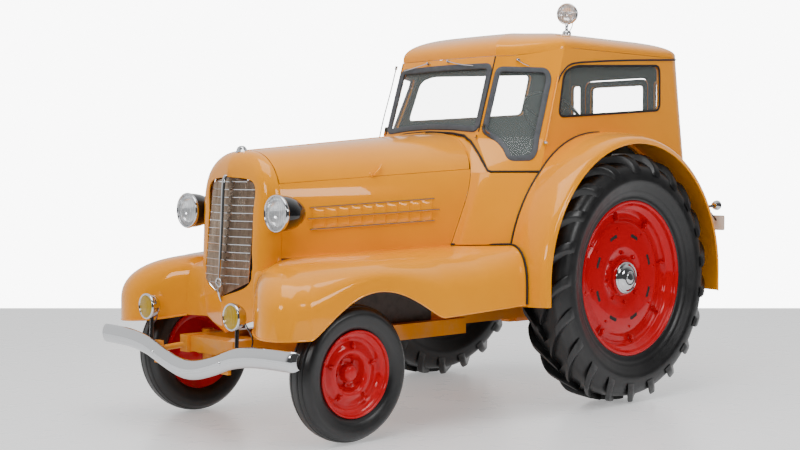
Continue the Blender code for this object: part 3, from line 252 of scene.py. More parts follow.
def through(points, t):
    """Points at shares t of a smooth Catmull-Rom curve, as the frame's panels use."""
    pts = np.array(points, float)
    ends = np.vstack([2 * pts[0] - pts[1], pts, 2 * pts[-1] - pts[-2]])
    s = np.clip(np.asarray(t, float), 0, 1) * (len(pts) - 1)
    i = np.minimum(s.astype(int), len(pts) - 2)
    f = (s - i)[..., None]
    a, b, c, d = ends[i], ends[i + 1], ends[i + 2], ends[i + 3]
    return 0.5 * (2 * b + (c - a) * f + (2 * a - 5 * b + 4 * c - d) * f ** 2
                  + (3 * b - a - 3 * c + d) * f ** 3)


def curve(points, count=48):
    """Points evenly spread on a smooth Catmull-Rom curve through the given points."""
    return through(points, np.linspace(0, 1, count))


def rounded(points, radius):
    """An outline with each corner replaced by a short curve of about the given radius."""
    pts = np.asarray(points, float)
    before, after = np.roll(pts, 1, 0) - pts, np.roll(pts, -1, 0) - pts
    low, high = (np.linalg.norm(v, axis=1, keepdims=True) for v in (before, after))
    reach = np.minimum(radius, np.minimum(low, high) / 2.2)
    a = pts + before / low * reach
    b = pts + after / high * reach
    t = np.linspace(0, 1, 7)[None, :, None]
    return (a[:, None] * (1 - t) ** 2 + pts[:, None] * 2 * t * (1 - t)
            + b[:, None] * t ** 2).reshape(-1, 2)


def even(outline, count):
    """Points spread evenly by length round a closed outline."""
    pts = np.asarray(outline, float)
    pts = np.vstack([pts, pts[:1]])
    run = np.concatenate([[0], np.cumsum(np.linalg.norm(np.diff(pts, axis=0), axis=1))])
    want = np.linspace(0, run[-1], count, endpoint=False)
    return np.stack([np.interp(want, run, pts[:, k]) for k in range(pts.shape[1])], -1)


def mirrored(grid, side):
    """The grid, or for side -1 its copy on the right-hand side."""
    return np.asarray(grid, float) * np.array([side, 1, 1])


# ------------------------------------------------------------------ finishes
class Flow:
    """A shader socket that takes part in sums, such as 1 - mask * 0.5."""

    def __init__(self, tree, socket):
        self.tree, self.socket = tree, socket

    def _math(self, operation, first, second):
        node = self.tree.nodes.new("ShaderNodeMath")
        node.operation = operation
        for place, value in zip(node.inputs, (first, second)):
            connect(self.tree, place, value)
        return Flow(self.tree, node.outputs[0])

    def __add__(self, other):
        return self._math("ADD", self, other)

    __radd__ = __add__

    def __mul__(self, other):
        return self._math("MULTIPLY", self, other)

    __rmul__ = __mul__

    def __sub__(self, other):
        return self._math("SUBTRACT", self, other)

    def __rsub__(self, other):
        return self._math("SUBTRACT", other, self)

    def __truediv__(self, other):
        return self._math("DIVIDE", self, other)

    def __pow__(self, other):
        return self._math("POWER", self, other)


def connect(tree, place, value):
    """Links a Flow to a node's input, or writes a plain value into it."""
    if isinstance(value, Flow):
        tree.links.new(value.socket, place)
    elif isinstance(value, (tuple, list)) and len(place.default_value) == 4:
        place.default_value = (*value[:3], 1.0)
    else:
        place.default_value = value


class Finish:
    """A Principled material being built; every node that isn't a sum comes from node()."""

    def __init__(self, name, **constants):
        self.material = bpy.data.materials.new(name)
        self.material.use_nodes = True
        self.tree = self.material.node_tree
        self.shader = self.tree.nodes["Principled BSDF"]
        self.feed({key.replace("_", " "): value for key, value in constants.items()})

    def node(self, kind, values, settings=None, output=0):
        """A node of the given type: settings first, then its sockets' values or links."""
        made = self.tree.nodes.new("ShaderNode" + kind)
        for key, value in (settings or {}).items():
            if key == "stops":
                ramp = made.color_ramp.elements
                while len(ramp) < len(value):
                    ramp.new(0.5)
                for stop, (at, colour) in zip(ramp, value):
                    stop.position = at
                    stop.color = (*colour, 1.0)
            else:
                setattr(made, key, value)
        for key, value in values.items():
            connect(self.tree, made.inputs[key], value)
        return Flow(self.tree, made.outputs[output])

    def place(self, scale=(1, 1, 1), turn=(0, 0, 0)):
        """Object coordinates, stretched and turned."""
        where = self.node("TexCoord", {}, output=3)
        return self.node("Mapping", {"Vector": where, "Scale": scale, "Rotation": turn})

    def height(self):
        """Height above the ground in metres."""
        return self.node("SeparateXYZ", {"Vector": self.node("TexCoord", {}, output=3)},
                         output=2)

    def noise(self, scale, detail=4.0, rough=0.55, stretch=(1, 1, 1)):
        """Cloudy variation from 0 to 1, scale in cycles per metre."""
        return self.node("TexNoise", {"Vector": self.place(stretch), "Scale": scale,
                                      "Detail": detail, "Roughness": rough})

    def ramp(self, value, low, high):
        """A value remapped so that low gives 0 and high gives 1, held at both ends."""
        return self.node("MapRange", {"Value": value, "From Min": low, "From Max": high})

    def blend(self, share, first, second):
        """Two colours mixed by a share."""
        return self.node("Mix", {0: share, 6: first, 7: second}, {"data_type": "RGBA"}, 2)

    def bump(self, relief, depth, strength=1.0):
        """A normal from relief (0 to 1) that stands up by depth metres."""
        return self.node("Bump", {"Height": relief, "Distance": depth,
                                  "Strength": strength})

    def feed(self, values):
        """Writes or links the shader's own sockets."""
        for key, value in values.items():
            connect(self.tree, self.shader.inputs[key], value)
        return self.material


def shade(colour, factor):
    """A colour made lighter or darker by a factor."""
    return tuple(min(1.0, c * factor) for c in colour)


def enamel(name, colour, dust=0.12, gloss=0.16, coat=1.0):
    """Sprayed enamel: faint orange peel, cloudy depth, a film of dust low down."""
    look = Finish(name, Coat_Weight=coat, Coat_Roughness=0.02, Specular_IOR_Level=0.4,
                  Specular_Tint=shade(colour, 1.0))
    cloud = look.noise(2.2, 3)
    peel = look.noise(260, 2)
    low = look.ramp(look.height(), 0.75, 0.10)
    film = low * look.ramp(look.noise(9, 6, 0.7), 0.35, 0.75) * dust
    base = look.blend(look.ramp(cloud, 0.3, 0.7), shade(colour, 0.94), shade(colour, 1.04))
    return look.feed({
        "Base Color": look.blend(film, base, (0.42, 0.38, 0.33)),
        "Roughness": gloss + 0.08 * look.noise(24, 5) + film * 0.6,
        "Normal": look.bump(peel, 0.00006)})


def plating(name, colour=(0.60, 0.61, 0.625), dull=0.04):
    """Polished plating with faint wipe marks and pits."""
    look = Finish(name, Metallic=1.0)
    wipe = look.noise(14, 6, 0.65, (1, 1, 6))
    pits = look.ramp(look.noise(320, 2), 0.70, 0.78)
    return look.feed({
        "Base Color": look.blend(pits * 0.25, colour, (0.34, 0.31, 0.28)),
        "Roughness": dull + 0.10 * look.ramp(wipe, 0.5, 0.9) + pits * 0.15,
        "Normal": look.bump(look.noise(60, 3), 0.00003)})


def tyre_rubber(name, colour=(0.0045, 0.0045, 0.005)):
    """Tyre rubber: fine moulded grain, grey bloom and dust in patches."""
    look = Finish(name, Specular_IOR_Level=0.55)
    bloom = look.ramp(look.noise(6, 8, 0.7), 0.45, 0.85)
    grain = look.noise(420, 3)
    return look.feed({
        "Base Color": look.blend(bloom * 0.4, colour, (0.022, 0.021, 0.020)),
        "Roughness": 0.24 + 0.18 * look.noise(18, 5) + bloom * 0.15,
        "Normal": look.bump(grain, 0.00025)})


def seal_rubber(name, colour):
    """Moulded window and joint seal, slightly chalky."""
    look = Finish(name, Specular_IOR_Level=0.4)
    chalk = look.noise(40, 6, 0.7)
    return look.feed({
        "Base Color": look.blend(look.ramp(chalk, 0.35, 0.8), colour, shade(colour, 1.7)),
        "Roughness": 0.42 + 0.2 * chalk,
        "Normal": look.bump(look.noise(500, 2), 0.0001)})


def pane_glass(name):
    """Flat window glass, clear with a faint green cast and wiping smears."""
    look = Finish(name, Base_Color=(0.62, 0.70, 0.68), Alpha=0.16,
                  Specular_IOR_Level=0.6, IOR=1.5)
    return look.feed({"Roughness": 0.015 + 0.05 * look.ramp(look.noise(7, 5, 0.6,
                                                                     (1, 1, 0.3)), 0.55, 0.9)})


def fluted_lens(name, colour, alpha, pitch, coat=1.0):
    """Pressed lens glass with upright flutes of the given pitch in metres, its colour painted
    lighter on each flute's crown and darker in its groove as painted highlight and shade.
    """
    look = Finish(name, Base_Color=colour, Specular_IOR_Level=0.5, Coat_Weight=coat,
                  Specular_Tint=colour,
                  Coat_Roughness=0.02, Alpha=alpha)
    flutes = look.node("TexWave", {"Vector": look.place(), "Scale": 0.314 / pitch,
                                   "Distortion": 0.0}, {"bands_direction": "X"}, 1)
    # Painted highlight and shade: the lens colour is lighter on each flute's crown and darker in
    # its groove.
    flute_highlight_and_shade = look.blend(flutes, shade(colour, 0.72), shade(colour, 1.15))
    return look.feed({"Base Color": flute_highlight_and_shade, "Roughness": 0.06 + 0.05 * look.noise(40, 3),
                      "Normal": look.bump(flutes, 0.0018)})


def hide(name, colour):
    """Dyed hide: pebbled grain, worn lighter on its crowns."""
    look = Finish(name, Specular_IOR_Level=0.4)
    pebble = look.node("TexVoronoi", {"Vector": look.place(), "Scale": 420.0})
    worn = look.ramp(look.noise(7, 5, 0.6), 0.45, 0.8)
    return look.feed({
        "Base Color": look.blend(worn, colour, shade(colour, 2.0)),
        "Roughness": 0.38 + 0.2 * pebble + worn * 0.1,
        "Normal": look.bump(1 - pebble, 0.0006)})


def casting(name, colour):
    """Sand-cast iron with oily patches."""
    look = Finish(name, Metallic=0.5)
    oil = look.ramp(look.noise(8, 6, 0.65), 0.45, 0.7)
    return look.feed({
        "Base Color": look.blend(oil, colour, shade(colour, 0.35)),
        "Roughness": 0.62 - oil * 0.25 + 0.15 * look.noise(60, 4),
        "Normal": look.bump(look.noise(300, 6, 0.7), 0.0012)})


def flat_paint(name, colour):
    """Flat brushed paint inside the cab, scuffed near edges and floor."""
    look = Finish(name, Specular_IOR_Level=0.3)
    scuff = look.ramp(look.noise(22, 8, 0.75), 0.58, 0.8)
    return look.feed({
        "Base Color": look.blend(scuff * 0.7, colour, shade(colour, 0.55)),
        "Roughness": 0.5 + 0.2 * look.noise(35, 4),
        "Normal": look.bump(look.noise(180, 3, 0.5, (1, 1, 0.2)), 0.0003)})


def bronze(name):
    """Bronze grille bars, browned between the bright edges."""
    look = Finish(name, Metallic=1.0)
    brown = look.ramp(look.noise(30, 6, 0.7, (1, 1, 0.2)), 0.35, 0.75)
    return look.feed({
        "Base Color": look.blend(brown, (0.74, 0.60, 0.48), (0.36, 0.25, 0.17)),
        "Roughness": 0.22 + brown * 0.25,
        "Normal": look.bump(look.noise(200, 3), 0.0001)})


def plain_floor(name, colour):
    """Smooth pale studio floor with a faint glow of its own."""
    look = Finish(name, Specular_IOR_Level=0.6, Emission_Color=(1, 1, 1),
                  Emission_Strength=0.36)
    mottle = look.noise(1.4, 6, 0.6)
    look.feed({"Base Color": look.blend(mottle, shade(colour, 0.96), shade(colour, 1.03)),
               "Roughness": 0.22 + 0.12 * look.noise(5, 4)})
    return look.material


FINISHES = {}


def mix_finishes(sizes):
    """Builds every finish once from the colours of the add-on's settings."""
    body, rims = tuple(sizes.body_colour), tuple(sizes.wheel_colour)
    FINISHES.update({
        "body": enamel("body_enamel", body, coat=0.6),
        "frame": enamel("frame_enamel", shade(body, 0.82), 0.5, 0.34, 0.4),
        "rims": enamel("wheel_enamel", rims, 0.12, 0.16, 0.45),
        "black": enamel("black_enamel", (0.008, 0.008, 0.009), 0.1, 0.12),
        "chrome": plating("chrome_plating"),
        "reflector": plating("silvered_reflector", (0.92, 0.93, 0.95), 0.10),
        "tyre": tyre_rubber("tyre_rubber"),
        "seal": seal_rubber("window_seal", (0.055, 0.060, 0.068)),
        "bead": seal_rubber("black_beading_and_slot_shade", (0.010, 0.009, 0.008)),
        "glass": pane_glass("window_glass"),
        "lens": fluted_lens("clear_lens", (0.86, 0.90, 0.95), 0.40, 0.012),
        "amber": fluted_lens("amber_lens", (0.52, 0.31, 0.0), 1.0, 0.011, 0.2),
        "red_lens": fluted_lens("red_lens", (0.55, 0.01, 0.01), 0.9, 0.006),
        "hide": hide("burgundy_hide", tuple(sizes.seat_colour)),
        "iron": casting("cast_iron", (0.10, 0.095, 0.09)),
        "lining": flat_paint("cab_lining", (0.085, 0.105, 0.10)),
        "plate": flat_paint("blank_plate", (0.72, 0.71, 0.68)),
        "dial": flat_paint("dial_face", (0.55, 0.50, 0.36)),
        "bronze": bronze("bronze_bars"),
        "floor": plain_floor("studio_floor", (0.80, 0.81, 0.82)),
    })


# ------------------------------------------------------------------ lines of the body
def hood_half(y):
    """Half the hood's width, growing evenly towards the cab."""
    return 0.305 + 0.163 * (y - HOOD_FRONT_Y) / (SEAM_Y - HOOD_FRONT_Y)


def hood_top(y):
    """Height of the hood's centre line."""
    return 1.483 + 0.0875 * (y - HOOD_FRONT_Y)


def lid_seam(y):
    """Height of the seam between a lid and the hood's side."""
    return 1.308 + 0.062 * (y - HOOD_FRONT_Y)


def hood_rear(z):
    """Y of the hood's rear edge, leaning back with height."""
    return SEAM_Y + SEAM_LEAN * (z - WAIST_Z)


def hood_point(y, angle):
    """Hood skin: x = half * sin(a)^0.8, z = side top + rise * cos(a)^0.8."""
    x = hood_half(y) * np.sin(angle) ** 0.8
    return x, HOOD_SIDE_TOP + (hood_top(y) - HOOD_SIDE_TOP) * np.cos(angle) ** 0.8


def hood_angle(y, z):
    """The section angle at which the hood's skin has the given height."""
    share = (z - HOOD_SIDE_TOP) / (hood_top(y) - HOOD_SIDE_TOP)
    return np.arccos(np.clip(share, 0, 1) ** 1.25)


def hood_side_x(y, z):
    """Half-width of the hood's skin at a height below the lid's seam."""
    return np.where(z > HOOD_SIDE_TOP, hood_point(y, hood_angle(y, z))[0], hood_half(y))


def side_x(z):
    """Half-width of the cab's side at the crease behind the corner window."""
    return 0.69 - 0.124 * np.maximum(z - CAB_SILL_Z, 0)


def crease_y(z):
    """Y of the crease between the corner window's panel and the cab's side."""
    return 1.441 + 0.43 * (z - CAB_SILL_Z)


def pillar_x(z):
    """Half-width of the windscreen at its pillar."""
    return 0.393 + 0.8 * np.maximum(0, 1.56 - z)


def pillar_y(z):
    """Y of the windscreen at its pillar."""
    return 1.234 + 0.321 * (z - 1.585)


def eave(y):
    """Height of the joint between the cab's walls and its roof."""
    t = np.clip((y - 1.4) / 0.45, 0, 1)
    return 2.045 + 0.06 * t * t * (3 - 2 * t)


def cab_plan(s, z):
    """The cab's wall: s runs 0 windscreen centre, 1 pillar, 2 crease, 3 to 4 the rear
    corner's arc, 5 the middle of the rear wall; each stretch is a straight line or arc."""
    s, z = np.broadcast_arrays(np.asarray(s, float), np.asarray(z, float))
    corner_x, corner_y = side_x(z) - 0.06, CAB_REAR - REAR_CORNER_R
    turn = np.clip(s - 3, 0, 1) * math.pi / 2
    pick = [s <= 1, s <= 2, s <= 3, s <= 4]
    x = np.select(pick, [pillar_x(z) * s, pillar_x(z) + (side_x(z) - pillar_x(z)) * (s - 1),
                         side_x(z) - 0.06 * (s - 2),
                         REAR_PANEL + (corner_x - REAR_PANEL) * np.cos(turn)],
                  REAR_PANEL * (5 - s))
    y = np.select(pick, [pillar_y(z) - 0.018 * (1 - np.minimum(np.abs(s), 1) ** 2),
                         pillar_y(z) + (crease_y(z) - pillar_y(z)) * (s - 1),
                         crease_y(z) + (corner_y - crease_y(z)) * (s - 2),
                         corner_y + REAR_CORNER_R * np.sin(turn)], CAB_REAR)
    return x, y


def cab_point(s, z):
    """A point of the cab's wall; a negative s is the same place on the right."""
    x, y = cab_plan(np.abs(s), z)
    return stack(x * np.where(np.asarray(s) < 0, -1.0, 1.0), y, z)


def cab_top(s):
    """Height of the cab's wall at a station, under the drip rail."""
    top = eave(cab_plan(np.abs(s), 2.05)[1])
    return eave(cab_plan(np.abs(s), top)[1]) - 0.002


def sill_height(s):
    """Height of the cab's lower edge from the windscreen to the crease."""
    return np.interp(np.abs(s), [0, 0.5, 0.76, 0.88, 0.95, 1],
                     [1.601, 1.592, 1.575, 1.544, 1.475, CAB_SILL_Z])


def fender_circle(y, radius):
    """Height of a circle round the rear axle, and the axle's height outside it."""
    return REAR_R + np.sqrt(np.maximum(radius ** 2 - (y - WHEELBASE) ** 2, 0))


def wall_x(y, z):
    """Half-width of the cab's side wall at a place behind the crease."""
    share = (y - crease_y(z)) / (CAB_REAR - REAR_CORNER_R - crease_y(z))
    return side_x(z) - 0.06 * np.clip(share, 0, 1)


# ------------------------------------------------------------------ hood and nose
def lid_grid(side, rows=90, cols=44):
    """Hood skin from the centre hinge down to the lid's seam."""
    share, bend = lattice(rows, cols)
    y = HOOD_FRONT_Y + 0.006 + (1.0 - HOOD_FRONT_Y) * share + 0 * bend
    for _ in range(4):
        last = hood_angle(y, lid_seam(y) + 0.001)
        first = np.arcsin((0.004 / hood_half(y)) ** 1.25)
        x, z = hood_point(y, first + (last - first) * bend)
        y = HOOD_FRONT_Y + 0.006 + share * (hood_rear(z) - HOOD_FRONT_Y - 0.014)
    return mirrored(stack(x, y, z), side)


def hood_side_grid(side, rows=90, cols=30):
    """Hood skin from the lid's seam down to the fender's ridge."""
    share, drop = lattice(rows, cols)
    y = HOOD_FRONT_Y + share + 0 * drop
    t = np.clip(share * 1.2, 0, 1)
    for _ in range(4):
        z = WAIST_Z - 0.012 - 0.028 * (1 - t * t * (3 - 2 * t)) + 0 * drop
        z = (lid_seam(y) - 0.001) * (1 - drop) + z * drop
        y = HOOD_FRONT_Y + 0.001 + share * (hood_rear(z) - HOOD_FRONT_Y - 0.002)
    return mirrored(stack(hood_side_x(y, z), y, z), side)


def louvre_top(y):
    """Height of the upper louvre strip."""
    return 1.180 + 0.049 * y


def louvre_low(y):
    """Height of the lower louvre strip."""
    return 1.066 + 0.039 * y


def louvre_grid(side, count, depth):
    """Pressed louvres: depth * a slow rise and a steep fall, count times along the run."""
    run, drop = lattice(count * 14 + 1, 10)
    y = 0.045 + 0.765 * run + 0 * drop
    z = louvre_top(y) * (1 - drop) + louvre_low(y) * drop
    part = (count * run) % 1
    tooth = np.sin(0.5 * math.pi * np.minimum(part / 0.80, (1 - part) / 0.20))
    swell = tooth ** 0.8 * np.sin(math.pi * drop) ** 0.25
    return mirrored(stack(hood_side_x(y, z) + 0.0012 + depth * swell, y, z), side)


def strip_path(side, height, start, end, lift_by=0.003):
    """A line along the hood's side at a height given as a function of y."""
    y = np.linspace(start, end, 40)
    z = height(y)
    return mirrored(stack(hood_side_x(y, z) + lift_by, y, z), side)


def shell_outer(t):
    """The shell's outer edge on the left: apron, upright side, then the hood's section."""
    apron = through([(0, -0.272, 0.523), (0.13, -0.262, 0.57), (0.262, -0.235, 0.615)],
                    np.clip(t / 0.25, 0, 1))
    side_t = np.clip((t - 0.25) / 0.35, 0, 1)[..., None]
    foot = np.array([0.305, HOOD_FRONT_Y, WAIST_Z - 0.10])
    head = np.array([0.305, HOOD_FRONT_Y, HOOD_SIDE_TOP])
    start = np.array([0.262, -0.235, 0.615])
    side = (start + (foot - start) * np.clip(side_t * 3, 0, 1)
            + (head - foot) * np.clip(side_t * 1.5 - 0.5, 0, 1))
    angle = (1 - np.clip((t - 0.6) / 0.4, 0, 1)) * math.pi / 2
    x, z = hood_point(HOOD_FRONT_Y, angle)
    arch = stack(x, np.full_like(x, HOOD_FRONT_Y), z)
    return np.where((t < 0.25)[..., None], apron, np.where((t < 0.6)[..., None], side, arch))


def shell_inner(t):
    """The grille opening's edge on the left, bottom centre to top centre."""
    return through([(0, -0.298, 0.713), (0.190, -0.258, 0.795), (0.197, -0.246, 0.98),
                    (0.195, -0.236, 1.15), (0.188, -0.228, 1.312), (0, -0.256, 1.345)], t)


def shell_grid():
    """The shell: a quarter-round section between its outer edge and the opening."""
    half = np.linspace(0, 1, 141)
    bend = np.linspace(0, math.pi / 2, 16)[None, :, None]
    outer, inner = shell_outer(half)[:, None], shell_inner(half)[:, None]
    turn_in, forward = 1 - np.cos(bend) ** 0.9, np.sin(bend) ** 0.9
    share = np.concatenate([turn_in, forward, turn_in], -1)
    left = outer + (inner - outer) * share
    right = left[-2:0:-1] * np.array([-1, 1, 1])
    whole = np.concatenate([left, right])
    return np.concatenate([whole, whole[:1]])


def grille_point(u, z, proud=0.0):
    """The V-shaped grille: u runs -1 to 1 across, z is height, proud stands forward."""
    low = 0.716 + 0.082 * np.abs(u)
    high = 1.341 - 0.031 * np.abs(u) ** 1.5
    share = (z - low) / (high - low)
    return stack(0.190 * u, -0.298 + 0.040 * np.abs(u) + 0.052 * share - proud, z)


def grille_bars(count):
    """Fine upright bars across the whole opening."""
    u = np.linspace(-0.985, 0.985, count)[:, None]
    share = np.linspace(0, 1, 6)[None, :]
    low = 0.716 + 0.082 * np.abs(u)
    high = 1.341 - 0.031 * np.abs(u) ** 1.5
    middle = grille_point(u, low + (high - low) * share, 0.004)
    turn = np.linspace(0, 2 * math.pi, 7)
    ring = stack(0.0019 * np.cos(turn), -0.003 * np.sin(turn), 0 * turn)
    return middle[:, :, None] + ring


def cross_bar(height):
    """One thin bright bar right across the grille, bent with its V."""
    u = np.concatenate([np.linspace(-1, -0.02, 14), np.linspace(0.02, 1, 14)])
    path = grille_point(u, np.full(u.shape, height), 0.009)
    inside = (height > 0.716 + 0.082 * np.abs(u) + 0.006)
    inside &= height < 1.341 - 0.031 * np.abs(u) ** 1.5 - 0.004
    return sweep(path[inside], circle(0.0024, 6))


# ------------------------------------------------------------------ fenders
def arch_edge(y):
    """Lower edge of the front fender: base + (arch top - base) * (1 - (dy/half)^2)^1.3."""
    rear = 0.600 + 0.032 * np.clip((y - 0.52) / 0.64, 0, 1)
    base = np.where(y < 0.12, 0.552, rear)
    share = np.clip(1 - ((y - 0.12) / 0.44) ** 2, 0, 1)
    return base + (0.766 - base) * share ** 1.3


def fender_foot(k):
    """The front fender's lower edge; k runs 0 to 8 round the nose and to 26 at the rear."""
    lobe = through([(0.315, -0.30, 0.595), (0.45, -0.43, 0.568), (0.60, -0.498, 0.556),
                    (0.725, -0.455, 0.552), (0.775, -0.32, 0.552)], np.clip(k / 8, 0, 1))
    seam_y = WHEELBASE - FENDER_R - 0.003
    share = np.clip((k - 8) / 18, 0, 1)
    y = -0.32 + (seam_y + 0.32) * share
    side = stack(0.775 + 0.065 * share ** 1.5, y, arch_edge(y))
    return np.where((k <= 8)[:, None], lobe, side)


def fender_ridge(k):
    """The line where the front fender meets the hood and the cowl."""
    front = through([(0.308, -0.25, 0.862), (0.3075, -0.19, 0.893), (0.3075, -0.14, 0.915),
                     (0.322, 0.0, 0.93)], np.linspace(0, 1, 10))
    waist_y = WHEELBASE - math.sqrt((FENDER_R + 0.003) ** 2 - (WAIST_Z - REAR_R) ** 2)
    y = np.interp(np.arange(17), [0, 12, 16], [0.06, 0.94, waist_y])
    flare = np.clip((y - SEAM_Y) / (waist_y - SEAM_Y), 0, 1) ** 0.8
    x = np.where(y < SEAM_Y, hood_half(y) - 0.004, 0.468 + 0.222 * flare)
    z = np.interp(y, [0, 0.94], [0.931, WAIST_Z - 0.0048])
    table = np.concatenate([front, stack(x, y, z)])
    return through(table, k / 26)


def front_fender_grid(side, rows=180, cols=22):
    """Front fender: ridge to foot, out * sin(a)^0.85 and down * (1 - cos(a)^0.85)."""
    k = np.linspace(0, 26, rows)
    foot, ridge = fender_foot(k)[:, None], fender_ridge(k)[:, None]
    bend = np.linspace(0, math.pi / 2, cols)[None, :, None]
    shoulder = foot[..., 2:] + 0.3 * (ridge - foot)[..., 2:]
    plan = ridge[..., :2] + (foot - ridge)[..., :2] * np.sin(bend) ** 0.85
    height = ridge[..., 2:] + (shoulder - ridge[..., 2:]) * (1 - np.cos(bend) ** 0.85)
    curved = np.concatenate([plan, height], -1)
    drop = np.linspace(0, 1, 10)[None, 1:, None]
    skirt = curved[:, -1:] * (1 - drop) + foot * drop
    return mirrored(np.concatenate([curved, skirt], 1), side)


def apron_grid(side):
    """The filler between a front fender's inner edge and the radiator shell."""
    wing = front_fender_grid(1)
    reach = round((len(wing) - 1) * APRON_SHARE)
    rim = np.concatenate([wing[reach:0:-1, 0], wing[0]])
    y = rim[:, 1]
    seat = stack(np.interp(y, [-0.25, -0.16], [0.195, 0.296]),
                 np.interp(y, [-0.30, -0.25, -0.16], [-0.252, -0.246, -0.165]),
                 rim[:, 2] + np.interp(y, [-0.25, -0.16], [0.0, 0.012]))
    share = np.linspace(0, 1, 12)[None, :, None]
    hollow = np.array([0, 0.010, 0]) * 4 * share * (1 - share)
    return mirrored(rim[:, None] * (1 - share) + seat[:, None] * share + hollow, side)


def rear_fender_grid(side, rows=150, cols=30):
    """Rear fender: a crowned strip from the cab's wall out, swept over the wheel."""
    across = through([(0, FENDER_R), (0.4, FENDER_R + 0.001), (0.74, FENDER_R - 0.014),
                      (0.94, FENDER_R - 0.036), (1, FENDER_EDGE_R)], np.linspace(0, 1, cols))
    angle = np.concatenate([[0], np.linspace(0, math.pi, rows), [math.pi]])[:, None]
    drop = np.zeros_like(angle)
    drop[0] = drop[-1] = FENDER_FOOT - REAR_R
    y = WHEELBASE - across[None, :, 1] * np.cos(angle)
    z = REAR_R + across[None, :, 1] * np.sin(angle) + drop
    inner = wall_x(y, z) + 0.002
    return mirrored(stack(inner + (FENDER_X - inner) * across[None, :, 0], y, z), side)


# ------------------------------------------------------------------ cab
WINDSCREEN = [(-0.955, 1.612), (-0.5, 1.629), (0, 1.636), (0.5, 1.629), (0.955, 1.612),
              (0.945, 1.986), (0, 1.991), (-0.945, 1.986)]
CORNER_WINDOW = [(1.43, 1.443), (1.79, 1.447), (1.850, 1.485), (1.862, 1.915),
                 (1.79, 1.963), (1.085, 1.966), (1.08, 1.605), (1.17, 1.583), (1.30, 1.553),
                 (1.395, 1.500)]
SIDE_WINDOW = [(2.055, 1.690), (2.860, 1.760), (2.885, 2.047), (2.12, 1.997),
               (2.035, 1.955)]
REAR_WINDOW = [(0.315, 1.70), (0.395, 1.70), (0.395, 1.97), (0.315, 1.97)]
DOOR_WINDOW = [(-0.225, 1.53), (0.225, 1.53), (0.225, 1.955), (-0.225, 1.955)]
DOOR = [(-0.27, 0.93), (0.27, 0.93), (0.27, 1.995), (-0.27, 1.995)]


def on_wall(outline, length, radius):
    """A rounded window outline in stations of the given length in metres."""
    soft = rounded([(s * length, z) for s, z in outline], radius)
    return soft / np.array([length, 1])


def rear_point(x, z):
    """A point of the flat rear wall."""
    return stack(x, CAB_REAR + 0 * x, z)


def ray_match(outline, centre, targets):
    """Where rays from the centre to the targets cross a star-shaped outline."""
    dense = even(outline, 3000) - centre
    angle = np.arctan2(dense[:, 1], dense[:, 0])
    order = np.argsort(angle)
    angle, dense = angle[order], dense[order]
    want = np.arctan2(targets[:, 1] - centre[1], targets[:, 0] - centre[0])
    return np.stack([np.interp(want, angle, dense[:, k], period=2 * math.pi)
                     for k in range(2)], -1) + centre


def border(low, high, left, right, count=70):
    """A panel's four edges in (station, height), with every corner met exactly."""
    s = np.linspace(left, right, count)
    bottom = np.stack([s, low(s)], -1)
    top = np.stack([s, high(s)], -1)
    t = np.linspace(0, 1, count)[:, None]
    start, end = bottom[-1] * (1 - t) + top[-1] * t, top[0] * (1 - t) + bottom[0] * t
    return np.concatenate([bottom[:-1], start[:-1], top[::-1][:-1], end[:-1]])


def side_match(window, corners, count=70):
    """The window's outline cut at its four corners, each side shared out evenly, so
    that a border of the same count meets it side by side."""
    dense = even(window, 2400)
    cuts = [int(np.argmin(np.sum((dense - np.array(c)) ** 2, -1))) for c in corners]
    parts = []
    for here, there in zip(cuts, cuts[1:] + cuts[:1]):
        run = np.arange(here, there if there > here else there + len(dense))
        pick = run[0] + np.linspace(0, len(run), count)[:-1]
        parts.append(dense[np.round(pick).astype(int) % len(dense)])
    return np.concatenate(parts)


def window_panel(edge, inner, surface, rows=9):
    """A wall with one window: straight lines in (station, height) from its edge in."""
    t = np.linspace(0, 1, rows)[None, :, None]
    flat = edge[:, None] * (1 - t) + inner[:, None] * t
    flat = np.concatenate([flat, flat[:1]])
    return surface(flat[..., 0], flat[..., 1])


def window_fill(window, surface, back, rows=8, count=120):
    """A pane: rings from the window's outline in to its middle, set back."""
    centre = window.mean(axis=0)
    rim = even(window, count)
    t = np.linspace(1, 0, rows)[None, :, None]
    flat = centre + (rim[:, None] - centre) * t
    flat = np.concatenate([flat, flat[:1]])
    points = surface(flat[..., 0], flat[..., 1])
    away = points - np.array([0, 2.2, 1.75])
    return points - away / np.linalg.norm(away, axis=-1, keepdims=True) * back


def seal_ring(window, surface, width, proud, count=160, up=(0, 1, 0)):
    """A rubber seal round a window: a rounded bar swept along its outline."""
    rim = even(window, count)
    path = surface(rim[:, 0], rim[:, 1])
    return sweep(path, rounded_bar(width, proud, min(width, proud) * 0.42), up, loop=True)


def side_low(s):
    """Lower edge of the cab's side, tucked behind the fender and then level."""
    y = cab_plan(s, 1.5)[1]
    return np.maximum(fender_circle(y, FENDER_R - 0.022), 0.76)


def roof_grid(rows=12):
    """Roof: a drip edge, then a dome with reach cos(a)^0.8 and lift sin(a)^0.8."""
    s = np.concatenate([np.linspace(0, 1, 41), 1 + np.linspace(0, 1, 21)[1:],
                        2 + np.linspace(0, 1, 61)[1:], 3 + np.linspace(0, 1, 21)[1:],
                        4 + np.linspace(0, 1, 21)[1:]])
    edge = eave(cab_plan(s, 2.05)[1])
    left = stack(*cab_plan(s, edge), edge)
    ring = np.concatenate([left, left[-2:0:-1] * np.array([-1, 1, 1])])
    ring = np.concatenate([ring, ring[:1]])[:, None]
    bend = np.linspace(0, math.pi / 2, rows * 2)[None, :, None]
    middle = np.array([0, 2.15, 0])
    plan = middle + (ring - middle) * np.cos(bend) ** 0.8
    height = ring[..., 2:] + (2.215 - ring[..., 2:]) * np.sin(bend) ** 0.85 + 0.014
    return np.concatenate([ring, np.concatenate([plan[..., :2], height], -1)], 1)


